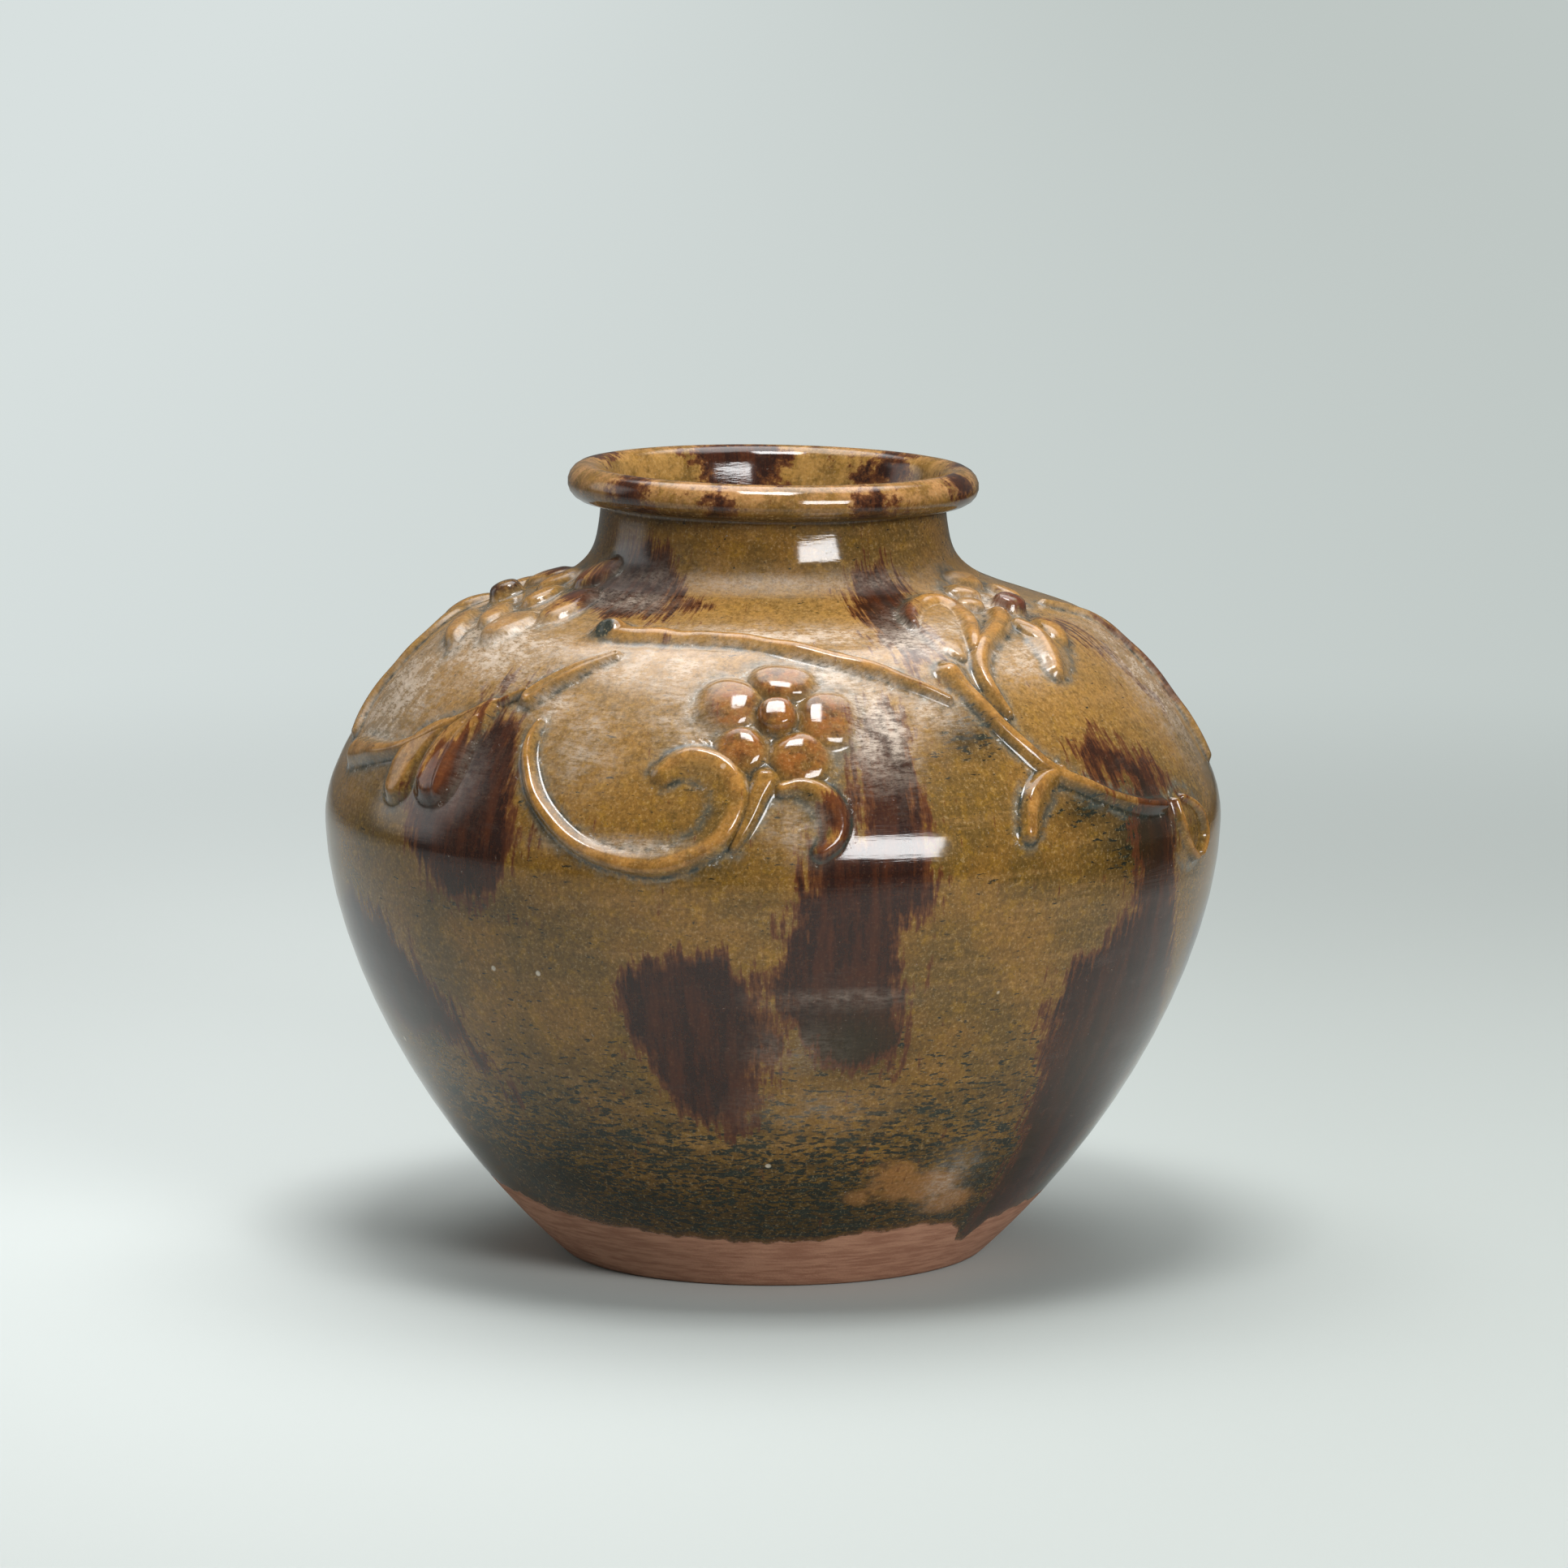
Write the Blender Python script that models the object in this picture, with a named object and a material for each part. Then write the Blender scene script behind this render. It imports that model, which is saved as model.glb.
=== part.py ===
"""Stoneware jar with applied flower and vine relief.

A wide-shouldered, wheel-thrown jar with a short neck and a rolled rim. Each sprig of the relief is a
separate piece of clay, pressed on a mould or rolled by hand and then luted to the shoulder, so each is
a separate solid here, seated on the wall with a slip joint between.

Metres, +Z up. The origin is the centre of the resting face and the front looks towards -Y.
Angles run round the jar from the front, positive towards +X.
"""

import math

import bmesh
import bpy
import numpy as np

# Thrown body, stacked from the foot up
BASE_RADIUS = 0.0594
FOOT_BEVEL_WIDTH = 0.0039
FOOT_BEVEL_HEIGHT = 0.0021
LOWER_WALL_HEIGHT = 0.1272
BELLY_RADIUS = 0.1305
UPPER_WALL_HEIGHT = 0.0577
SHOULDER_RADIUS = 0.0895
SHOULDER_RISE = 0.0241
THROAT_RADIUS = 0.0510
NECK_HEIGHT = 0.0136
RIM_OVERHANG = 0.0087
RIM_ROLL_RADIUS = 0.0053
WALL_THICKNESS = 0.0060
FLOOR_THICKNESS = 0.0085
FLOOR_FILLET = 0.0120

# Slopes of the thrown wall, in degrees from level
FOOT_FLARE_DEGREES = 42.8
SHOULDER_SLOPE_DEGREES = 19.9
RIM_UNDERSIDE_DEGREES = -120.0
RIM_INSIDE_DEGREES = 150.0

# Meshes stay smooth up to this bend, and the round end of a strip has stations at these turns
SHARP_EDGE_DEGREES = 50.0
ROUND_END_DEGREES = (35.0, 65.0)

# Fullness of each curve of the wall, as a share of the stretch that it spans
FOOT_FULLNESS_SHARE = 0.405
BELLY_LOWER_FULLNESS_SHARE = 0.275
BELLY_UPPER_FULLNESS_SHARE = 0.34
SHOULDER_LOWER_FULLNESS_SHARE = 0.234
SHOULDER_UPPER_FULLNESS_SHARE = 0.385
THROAT_FULLNESS_SHARE = 0.556
MOUTH_FULLNESS_SHARE = 0.4

# How finely the wall is cut
TURN_STEPS = 64
LOWER_WALL_STEPS = 9
UPPER_WALL_STEPS = 8
SHOULDER_STEPS = 7
RIM_STEPS = 9
MOUTH_STEPS = 3
FILLET_STEPS = 3

# Applied relief
SLIP_JOINT = 0.0003
VINE_WIDTH = 0.0055
VINE_RISE = 0.0034
EDGE_VINE_RISE = 0.0022
VINE_STEP = 0.0042
LOBED_LEAF_WIDTH = 0.0235
HOLLOW_LEAF_WIDTH = 0.0165
END_LEAF_WIDTH = 0.0215
LEAF_RISE = 0.0034
LEAF_STEP = 0.0030

# Flowers
FRONT_BEAD_DIAMETER = 0.0105
FRONT_BEAD_RISE = 0.0050
FRONT_PETAL_LENGTH = 0.0126
FRONT_PETAL_RISE = 0.0042
PETAL_GAP = 0.0010
BEAD_GROOVE = 0.0012
SIDE_BEAD_DIAMETER = 0.0108
SIDE_BEAD_RISE = 0.0050
SIDE_PETAL_LENGTH = 0.0170
SIDE_PETAL_WIDTH = 0.0078
SIDE_PETAL_RISE = 0.0034
DOME_SIDES = 12

# The front pattern is repeated on the back, and the right-hand one at the back left
BACK_TURN_DEGREES = 180.0
LEFT_TURN_DEGREES = 180.0

# Places on the wall are (degrees round the jar, share of the wall's length from foot to throat),
# and the third number of a route is its width there as a share of the piece's full width.
ARCH_VINE_SHARES = (
    (-36.5, 0.853, 1.50), (-33.0, 0.832, 1.15), (-29.0, 0.820, 1.00), (-24.0, 0.820, 1.00),
    (-18.0, 0.824, 1.00), (-10.0, 0.831, 1.00), (-4.0, 0.831, 1.00), (0.0, 0.828, 1.00),
    (5.0, 0.818, 1.00), (10.0, 0.806, 1.00), (14.0, 0.794, 0.95), (18.0, 0.783, 0.90),
    (21.0, 0.770, 0.85), (24.5, 0.755, 0.75), (27.3, 0.741, 0.60),
)
BRANCH_SHARES = (
    (-27.8, 0.794, 0.75), (-31.5, 0.783, 0.85), (-34.5, 0.764, 0.85), (-37.2, 0.745, 1.00),
    (-37.6, 0.728, 0.90),
)
TRAILING_VINE_SHARES = (
    (-42.0, 0.733, 0.50), (-46.0, 0.708, 0.60), (-50.0, 0.690, 0.65), (-54.0, 0.669, 0.70),
    (-58.0, 0.651, 0.80), (-63.0, 0.640, 1.00), (-69.0, 0.634, 1.30), (-75.0, 0.634, 1.50),
)
SCROLL_SHARES = (
    (-35.3, 0.706, 0.50), (-36.0, 0.690, 0.60), (-35.8, 0.670, 0.75), (-34.3, 0.647, 0.90),
    (-32.0, 0.618, 1.00), (-28.5, 0.592, 1.05), (-24.5, 0.571, 1.10), (-20.0, 0.562, 1.15),
    (-15.0, 0.563, 1.20), (-10.5, 0.573, 1.20), (-7.5, 0.590, 1.15), (-6.7, 0.613, 1.10),
    (-6.9, 0.637, 1.10), (-8.5, 0.657, 1.15), (-11.3, 0.665, 1.10), (-13.8, 0.657, 1.00),
    (-13.7, 0.645, 0.80),
)
CALYX_SHARES = (
    (-4.6, 0.586, 0.35), (-3.9, 0.600, 0.45), (-3.4, 0.618, 0.50), (-3.1, 0.636, 0.70),
    (-2.6, 0.650, 1.15),
)
CURL_SHARES = (
    (1.4, 0.645, 0.80), (3.6, 0.646, 0.90), (5.9, 0.638, 1.00), (7.4, 0.622, 1.00),
    (7.6, 0.603, 0.95), (6.7, 0.586, 0.85), (5.2, 0.577, 0.70),
)
RIGHT_VINE_SHARES = (
    (29.8, 0.770, 1.40), (30.8, 0.752, 1.10), (32.3, 0.733, 1.00), (34.2, 0.706, 1.00),
    (36.4, 0.680, 1.00), (38.7, 0.657, 1.00), (41.3, 0.641, 1.00), (44.5, 0.628, 1.00),
    (48.5, 0.615, 0.95), (53.5, 0.602, 0.80), (58.0, 0.594, 0.60),
)
SIDE_CURL_SHARES = (
    (37.0, 0.630, 1.00), (35.0, 0.618, 1.10), (33.6, 0.601, 1.10), (33.4, 0.587, 1.00),
)
RIGHT_SCROLL_SHARES = (
    (55.0, 0.866, 1.05), (52.0, 0.850, 1.05), (48.0, 0.834, 1.00), (44.0, 0.819, 1.00),
    (40.3, 0.804, 0.95), (37.3, 0.785, 0.90), (35.9, 0.765, 0.85), (35.5, 0.745, 0.70),
    (36.3, 0.725, 0.45),
)
INNER_CURL_SHARES = (
    (49.4, 0.811, 0.80), (50.8, 0.797, 0.90), (51.2, 0.781, 1.00), (50.4, 0.764, 1.05),
    (48.8, 0.750, 0.90),
)
RIGHT_EDGE_VINE_SHARES = (
    (81.0, 0.862, 0.80), (84.5, 0.842, 0.95), (87.0, 0.815, 1.00), (88.0, 0.785, 1.00),
    (88.5, 0.750, 1.00), (88.5, 0.715, 1.00), (88.0, 0.680, 1.00), (87.5, 0.645, 1.00),
    (86.5, 0.615, 0.90),
)
LEFT_EDGE_VINE_SHARES = (
    (-82.0, 0.650, 0.90), (-86.0, 0.672, 1.00), (-88.0, 0.700, 1.00), (-89.0, 0.735, 1.00),
    (-90.0, 0.765, 1.00), (-92.0, 0.790, 1.20), (-94.5, 0.806, 1.60),
)
LOBED_LEAF_SHARES = (
    (-44.2, 0.697, 0.16), (-45.2, 0.680, 0.27), (-46.4, 0.661, 0.44), (-48.0, 0.642, 0.70),
    (-49.9, 0.624, 0.98), (-51.0, 0.609, 0.94),
)
HOLLOW_LEAF_SHARES = (
    (33.4, 0.802, 0.26), (33.8, 0.822, 0.62), (35.2, 0.847, 0.92), (37.7, 0.872, 1.00),
    (40.5, 0.891, 0.92), (42.3, 0.903, 0.74),
)
END_LEAF_SHARES = (
    (64.2, 0.585, 0.42), (65.0, 0.574, 0.80), (65.8, 0.561, 1.00), (66.5, 0.548, 0.80),
    (67.0, 0.538, 0.46),
)

# Cross-sections as (share of half the width, share of the rise), from one edge over to the other
VINE_SECTION_SHARES = ((-1.0, 0.35), (-0.72, 0.80), (0.0, 1.0), (0.72, 0.80), (1.0, 0.35))
LOBED_SECTION_SHARES = (
    (-1.0, 0.30), (-0.72, 0.85), (-0.36, 0.45), (0.0, 1.0), (0.36, 0.45), (0.72, 0.85), (1.0, 0.30),
)
HOLLOW_SECTION_SHARES = (
    (-1.0, 0.35), (-0.82, 1.0), (-0.55, 0.45), (0.0, 0.30), (0.55, 0.45), (0.82, 1.0), (1.0, 0.35),
)

# The same for the underside, which lies on the slip joint
VINE_UNDERSIDE_SHARES = ((0.92, 0.0), (0.0, 0.0), (-0.92, 0.0))
LEAF_UNDERSIDE_SHARES = (
    (0.92, 0.0), (0.61, 0.0), (0.31, 0.0), (0.0, 0.0), (-0.31, 0.0), (-0.61, 0.0), (-0.92, 0.0),
)

# The front flower: its centre, and the direction that each petal points in
FRONT_FLOWER_SHARES = (0.5, 0.727)
FRONT_PETAL_DEGREES = (90.0, 158.0, 226.0, 296.0, 1.0)

# Side flowers: the bead, then each petal as (degrees, wall share, direction, length share, width share)
RIGHT_BEAD_SHARES = (64.0, 0.879)
RIGHT_PETAL_SHARES = (
    (58.3, 0.922, 133.0, 0.65, 0.84), (67.5, 0.942, 152.0, 0.82, 0.92), (53.2, 0.898, 137.0, 0.53, 0.76),
    (55.3, 0.819, 74.0, 0.95, 0.88), (61.8, 0.819, 52.0, 1.05, 0.96), (75.0, 0.903, 65.0, 0.76, 0.77),
)
LEFT_BEAD_SHARES = (-92.0, 0.869)
LEFT_PETAL_SHARES = (
    (-58.5, 0.832, 112.0, 1.20, 1.75), (-52.0, 0.887, 108.0, 1.42, 1.50), (-60.5, 0.954, 40.0, 1.00, 1.10),
    (-71.0, 0.898, 112.0, 0.82, 1.00), (-72.0, 0.843, 145.0, 1.20, 0.95), (-77.0, 0.809, 152.0, 1.65, 0.88),
    (-79.5, 0.927, 75.0, 0.85, 1.10), (-99.0, 0.912, 50.0, 1.10, 1.20), (-109.0, 0.870, 172.0, 1.05, 1.15),
    (-101.0, 0.817, 100.0, 1.05, 1.15),
)

# A dome's rings from its foot up, as (share of its radius, share of its rise)
DOME_RINGS_SHARES = ((0.5, 0.0), (0.94, 0.0), (1.0, 0.30), (0.68, 0.84))

# Colours as linear red, green and blue, with roughness: glazed clay is not metallic
FINISHES = {
    "ochre_glaze": ((0.235, 0.140, 0.035), 0.18),
    "amber_glaze": ((0.380, 0.170, 0.030), 0.16),
    "umber_glaze": ((0.085, 0.028, 0.018), 0.18),
}


def clear_scene():
    """Take every object out of the open scene."""
    for found in list(bpy.data.objects):
        bpy.data.objects.remove(found, do_unlink=True)


def glaze(finish):
    """Return the material of that name, made the first time it is asked for."""
    material = bpy.data.materials.get(finish)
    if material is None:
        colour, roughness = FINISHES[finish]
        material = bpy.data.materials.new(finish)
        material.use_nodes = True
        shader = material.node_tree.nodes["Principled BSDF"]
        shader.inputs["Base Color"].default_value = (*colour, 1.0)
        shader.inputs["Roughness"].default_value = roughness
        shader.inputs["Metallic"].default_value = 0.0
        material.diffuse_color = (*colour, 1.0)
    return material


def curve_points(start, start_pull, end_pull, end, steps):
    """Points of a cubic curve from start to end, without the start itself."""
    along = np.linspace(0.0, 1.0, steps + 1)[1:, None]
    back = 1.0 - along
    corners = [np.array(corner) for corner in (start, start_pull, end_pull, end)]
    return (back**3 * corners[0] + 3.0 * along * back**2 * corners[1]
            + 3.0 * along**2 * back * corners[2] + along**3 * corners[3])


def outer_wall():
    """Outer line of the wall as (radius, height) points, from the foot up to the throat."""
    foot = np.array((BASE_RADIUS + FOOT_BEVEL_WIDTH, FOOT_BEVEL_HEIGHT))
    belly = np.array((BELLY_RADIUS, foot[1] + LOWER_WALL_HEIGHT))
    shoulder = np.array((SHOULDER_RADIUS, belly[1] + UPPER_WALL_HEIGHT))
    throat = np.array((THROAT_RADIUS, shoulder[1] + SHOULDER_RISE))
    flare = math.radians(FOOT_FLARE_DEGREES)
    slope = math.radians(SHOULDER_SLOPE_DEGREES)
    outward = np.array((math.cos(flare), math.sin(flare)))
    inward = np.array((-math.cos(slope), math.sin(slope)))
    upward = np.array((0.0, 1.0))
    lower = curve_points(
        foot,
        foot + outward * FOOT_FULLNESS_SHARE * np.linalg.norm(belly - foot),
        belly - upward * BELLY_LOWER_FULLNESS_SHARE * LOWER_WALL_HEIGHT,
        belly, LOWER_WALL_STEPS)
    upper = curve_points(
        belly,
        belly + upward * BELLY_UPPER_FULLNESS_SHARE * UPPER_WALL_HEIGHT,
        shoulder - inward * SHOULDER_LOWER_FULLNESS_SHARE * UPPER_WALL_HEIGHT,
        shoulder, UPPER_WALL_STEPS)
    neck = curve_points(
        shoulder,
        shoulder + inward * SHOULDER_UPPER_FULLNESS_SHARE * np.linalg.norm(throat - shoulder),
        throat - upward * THROAT_FULLNESS_SHARE * SHOULDER_RISE,
        throat, SHOULDER_STEPS)
    return np.vstack([foot, lower, upper, neck])


def wall_normals(line):
    """Outward unit normals of a rising (radius, height) line, one for each point."""
    run = np.gradient(line, axis=0)
    normals = np.column_stack([run[:, 1], -run[:, 0]])
    return normals / np.linalg.norm(normals, axis=1, keepdims=True)


class Wall:
    """The outer wall as the relief needs it: a place on it, and its radius there."""

    def __init__(self):
        self.line = outer_wall()
        self.normals = wall_normals(self.line)
        steps = np.linalg.norm(np.diff(self.line, axis=0), axis=1)
        self.run = np.concatenate([[0.0], np.cumsum(steps)])
        self.length = self.run[-1]

    def radius(self, along):
        """Radius of the wall at a length along it from the foot."""
        return np.interp(along, self.run, self.line[:, 0])

    def point(self, turn, along, lift):
        """Place at a turn in radians, a length along the wall and a lift off it."""
        outward = np.interp(along, self.run, self.normals[:, 0])
        upward = np.interp(along, self.run, self.normals[:, 1])
        radius = self.radius(along) + lift * outward
        height = np.interp(along, self.run, self.line[:, 1]) + lift * upward
        return np.stack([radius * np.sin(turn), -radius * np.cos(turn), height], axis=-1)


def body_profile(outer):
    """Closed line of the body's half section, from the axis below round to the axis inside."""
    throat = outer[-1]
    roll_centre = np.array((THROAT_RADIUS + RIM_OVERHANG - RIM_ROLL_RADIUS, throat[1] + NECK_HEIGHT))
    turns = np.radians(np.linspace(RIM_UNDERSIDE_DEGREES, RIM_INSIDE_DEGREES, RIM_STEPS + 1))
    roll = roll_centre + RIM_ROLL_RADIUS * np.column_stack([np.cos(turns), np.sin(turns)])
    inner = outer - WALL_THICKNESS * wall_normals(outer)
    inner = inner[::-1]
    mouth_depth = roll[-1][1] - inner[0][1]
    inside = np.array((-math.sin(turns[-1]), math.cos(turns[-1])))
    mouth = curve_points(
        roll[-1],
        roll[-1] + inside * MOUTH_FULLNESS_SHARE * mouth_depth,
        inner[0] + np.array((0.0, MOUTH_FULLNESS_SHARE * mouth_depth)),
        inner[0], MOUTH_STEPS)
    inner = inner[inner[:, 1] > FLOOR_THICKNESS + FLOOR_FILLET]
    toe = inner[-1]
    floor_edge = np.array((toe[0] - FLOOR_FILLET - (toe[1] - FLOOR_THICKNESS), FLOOR_THICKNESS))
    corner = np.array(((toe[0] + floor_edge[0]) / 2.0, FLOOR_THICKNESS))
    fillet = curve_points(toe, (toe + corner) / 2.0, corner, floor_edge, FILLET_STEPS)
    base = np.array(((0.0, 0.0), (BASE_RADIUS, 0.0)))
    top = np.array(((0.0, FLOOR_THICKNESS),))
    return np.vstack([base, outer, roll, mouth, inner[1::2], fillet, top])


def shade_round(mesh):
    """Shade a turned or moulded mesh smooth, with its real corners kept."""
    mesh.shade_smooth()
    mesh.set_sharp_from_angle(angle=math.radians(SHARP_EDGE_DEGREES))


def add_piece(name, points, faces, finish, parent=None):
    """Make one closed piece whose origin is the middle of its points."""
    points = np.asarray(points)
    origin = points.mean(axis=0) if parent else np.zeros(3)
    mesh = bpy.data.meshes.new(name)
    mesh.from_pydata((points - origin).tolist(), [], faces)
    shell = bmesh.new()
    shell.from_mesh(mesh)
    bmesh.ops.recalc_face_normals(shell, faces=shell.faces)
    shell.to_mesh(mesh)
    shell.free()
    shade_round(mesh)
    mesh.materials.append(glaze(finish))
    piece = bpy.data.objects.new(name, mesh)
    piece.location = origin
    piece.parent = parent
    bpy.context.scene.collection.objects.link(piece)
    return piece


def make_body(wall):
    """Turn the half section about the axis into the thrown body."""
    profile = body_profile(wall.line)
    turns = np.linspace(0.0, 2.0 * math.pi, TURN_STEPS, endpoint=False)
    ring = profile[1:-1]
    rows = len(ring)
    points = [(0.0, 0.0, profile[0][1])]
    for turn in turns:
        points += [(r * math.sin(turn), -r * math.cos(turn), z) for r, z in ring]
    points.append((0.0, 0.0, profile[-1][1]))
    last = len(points) - 1
    faces = []
    for step in range(TURN_STEPS):
        here = 1 + step * rows
        there = 1 + (step + 1) % TURN_STEPS * rows
        faces.append((0, there, here))
        faces += [(here + k, there + k, there + k + 1, here + k + 1) for k in range(rows - 1)]
        faces.append((here + rows - 1, there + rows - 1, last))
    return add_piece("jar_body", points, faces, "ochre_glaze")


def smooth_route(wall, route, step):
    """Even stations along a smooth curve through a route's places: turn, length up, width share."""
    places = np.array(route)
    knots = np.column_stack([np.radians(places[:, 0]), places[:, 1] * wall.length, places[:, 2]])
    girth = wall.radius((knots[1:, 1] + knots[:-1, 1]) / 2.0)
    spans = np.hypot(np.diff(knots[:, 0]) * girth, np.diff(knots[:, 1]))
    at = np.concatenate([[0.0], np.cumsum(spans)])
    slopes = np.gradient(knots, at, axis=0)
    count = max(3, round(at[-1] / step))
    stations = np.linspace(0.0, at[-1], count + 1)
    index = np.clip(np.searchsorted(at, stations, side="right") - 1, 0, len(spans) - 1)
    span = spans[index][:, None]
    u = ((stations - at[index]) / spans[index])[:, None]
    return ((2 * u**3 - 3 * u**2 + 1) * knots[index] + (u**3 - 2 * u**2 + u) * span * slopes[index]
            + (3 * u**2 - 2 * u**3) * knots[index + 1] + (u**3 - u**2) * span * slopes[index + 1])


def strip_piece(wall, name, route, width, rise, section, underside, step, finish, parent):
    """Press a strip of clay along a route: flat on the wall, with a shaped back and round ends."""
    path = smooth_route(wall, route, step)
    girth = wall.radius(path[:, 1])
    ahead = np.column_stack([np.gradient(path[:, 0]) * girth, np.gradient(path[:, 1])])
    ahead /= np.linalg.norm(ahead, axis=1, keepdims=True)
    half = path[:, 2] * width / 2.0
    stations = [(path[k, 0], path[k, 1], ahead[k], half[k], 1.0) for k in range(len(path))]
    for end, sign in ((0, -1.0), (-1, 1.0)):
        for degrees in ROUND_END_DEGREES:
            tilt = math.radians(degrees)
            reach = sign * half[end] * math.sin(tilt) * ahead[end]
            station = (path[end, 0] + reach[0] / girth[end], path[end, 1] + reach[1], ahead[end],
                       half[end] * math.cos(tilt), (1.0 + math.cos(tilt)) / 2.0)
            if sign > 0:
                stations.append(station)
            else:
                stations.insert(0, station)
    loop = np.array(section + underside)
    points = []
    for turn, along, forward, reach, fade in stations:
        side = np.outer(loop[:, 0] * reach, (-forward[1], forward[0]))
        up = along + side[:, 1]
        lift = SLIP_JOINT + loop[:, 1] * rise * fade
        points.append(wall.point(turn + side[:, 0] / wall.radius(up), up, lift))
    tips = []
    for end, sign in ((0, -1.0), (-1, 1.0)):
        reach = sign * half[end] * ahead[end]
        turn = path[end, 0] + reach[0] / girth[end]
        tips.append(wall.point(turn, path[end, 1] + reach[1], SLIP_JOINT + rise * section[0][1]))
    size = len(loop)
    flat = np.vstack(points + [tips[0], tips[1]])
    faces = []
    for k in range(len(points) - 1):
        here = k * size
        faces += [(here + j, here + (j + 1) % size, here + size + (j + 1) % size, here + size + j)
                  for j in range(size)]
    back = (len(points) - 1) * size
    tip = len(flat) - 2
    faces += [(tip, (j + 1) % size, j) for j in range(size)]
    faces += [(tip + 1, back + j, back + (j + 1) % size) for j in range(size)]
    return add_piece(name, flat, faces, finish, parent)


def dome_piece(wall, name, place, direction, length, width, rise, finish, parent):
    """Press an oval dome on the wall, its length pointing in a direction given in radians."""
    turn = math.radians(place[0])
    along = place[1] * wall.length
    return dome_at(wall, name, turn, along, direction, length, width, rise, finish, parent)


def dome_at(wall, name, turn, along, direction, length, width, rise, finish, parent):
    """Press an oval dome on the wall at a turn and a length along it."""
    sides = np.linspace(0.0, 2.0 * math.pi, DOME_SIDES, endpoint=False)
    oval = np.column_stack([np.cos(sides) * length, np.sin(sides) * width]) / 2.0
    pointing = np.array(((math.cos(direction), math.sin(direction)),
                         (-math.sin(direction), math.cos(direction))))
    oval = oval @ pointing
    points = [wall.point(turn, along, SLIP_JOINT)[None, :]]
    for reach, height in DOME_RINGS_SHARES:
        up = along + oval[:, 1] * reach
        lift = SLIP_JOINT + rise * height
        points.append(wall.point(turn + oval[:, 0] * reach / wall.radius(up), up, lift))
    points.append(wall.point(turn, along, SLIP_JOINT + rise)[None, :])
    flat = np.vstack(points)
    last = len(flat) - 1
    faces = []
    for j in range(DOME_SIDES):
        after = (j + 1) % DOME_SIDES
        faces.append((0, 1 + after, 1 + j))
        for ring in range(len(DOME_RINGS_SHARES) - 1):
            low = 1 + ring * DOME_SIDES
            high = low + DOME_SIDES
            faces.append((low + j, low + after, high + after, high + j))
        faces.append((last - DOME_SIDES + j, last - DOME_SIDES + after, last))
    return add_piece(name, flat, faces, finish, parent)


def turned_copy(piece, name, degrees):
    """Repeat a piece further round the jar, sharing its mesh."""
    turn = math.radians(degrees)
    copy = bpy.data.objects.new(name, piece.data)
    x, y, z = piece.location
    copy.location = (x * math.cos(turn) - y * math.sin(turn), x * math.sin(turn) + y * math.cos(turn), z)
    copy.rotation_euler = (0.0, 0.0, turn)
    copy.parent = piece.parent
    bpy.context.scene.collection.objects.link(copy)
    return copy


def vine(wall, name, route, rise, finish, parent):
    """Roll out one coil of clay along its route."""
    return strip_piece(wall, name, route, VINE_WIDTH, rise, VINE_SECTION_SHARES, VINE_UNDERSIDE_SHARES,
                       VINE_STEP, finish, parent)


def leaf(wall, name, route, width, section, parent):
    """Press one leaf, its veins or raised rim running lengthwise."""
    return strip_piece(wall, name, route, width, LEAF_RISE, section, LEAF_UNDERSIDE_SHARES, LEAF_STEP,
                       "amber_glaze", parent)


def front_flower(wall, parent):
    """A bead in a ring of puffy petals, each as wide as its neighbours allow."""
    pieces = [dome_piece(wall, "flower_bead", FRONT_FLOWER_SHARES, 0.0, FRONT_BEAD_DIAMETER,
                         FRONT_BEAD_DIAMETER, FRONT_BEAD_RISE, "amber_glaze", parent)]
    ring = FRONT_BEAD_DIAMETER / 2.0 + BEAD_GROOVE + FRONT_PETAL_LENGTH / 2.0
    turns = sorted(FRONT_PETAL_DEGREES)
    tightest = math.radians(min(b - a for a, b in zip(turns, turns[1:])))
    width = 2.0 * ring * math.sin(tightest / 2.0) - PETAL_GAP
    turn = math.radians(FRONT_FLOWER_SHARES[0])
    along = FRONT_FLOWER_SHARES[1] * wall.length
    for number, degrees in enumerate(FRONT_PETAL_DEGREES, start=1):
        direction = math.radians(degrees)
        up = along + ring * math.sin(direction)
        aside = turn + ring * math.cos(direction) / wall.radius(up)
        pieces.append(dome_at(wall, f"flower_petal_{number}", aside, up, direction, FRONT_PETAL_LENGTH,
                              width, FRONT_PETAL_RISE, "amber_glaze", parent))
    return pieces


def side_flower(wall, side, bead, petals, parent):
    """A bead among longer petals, each with its own place and direction."""
    dome_piece(wall, f"{side}_flower_bead", bead, 0.0, SIDE_BEAD_DIAMETER, SIDE_BEAD_DIAMETER,
               SIDE_BEAD_RISE, "umber_glaze", parent)
    for number, (degrees, share, direction, long_share, wide_share) in enumerate(petals, start=1):
        dome_piece(wall, f"{side}_flower_petal_{number}", (degrees, share), math.radians(direction),
                   SIDE_PETAL_LENGTH * long_share, SIDE_PETAL_WIDTH * wide_share, SIDE_PETAL_RISE,
                   "amber_glaze", parent)


def front_motif(wall, parent):
    """The front sprig: the arch over the flower, the big scroll under it, and what trails left."""
    pieces = front_flower(wall, parent)
    coils = (
        ("arch_vine", ARCH_VINE_SHARES), ("branch", BRANCH_SHARES), ("trailing_vine", TRAILING_VINE_SHARES),
        ("scroll", SCROLL_SHARES), ("calyx", CALYX_SHARES), ("curl", CURL_SHARES),
    )
    pieces += [vine(wall, name, route, VINE_RISE, "amber_glaze", parent) for name, route in coils]
    pieces.append(leaf(wall, "lobed_leaf", LOBED_LEAF_SHARES, LOBED_LEAF_WIDTH, LOBED_SECTION_SHARES,
                       parent))
    return pieces


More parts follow.
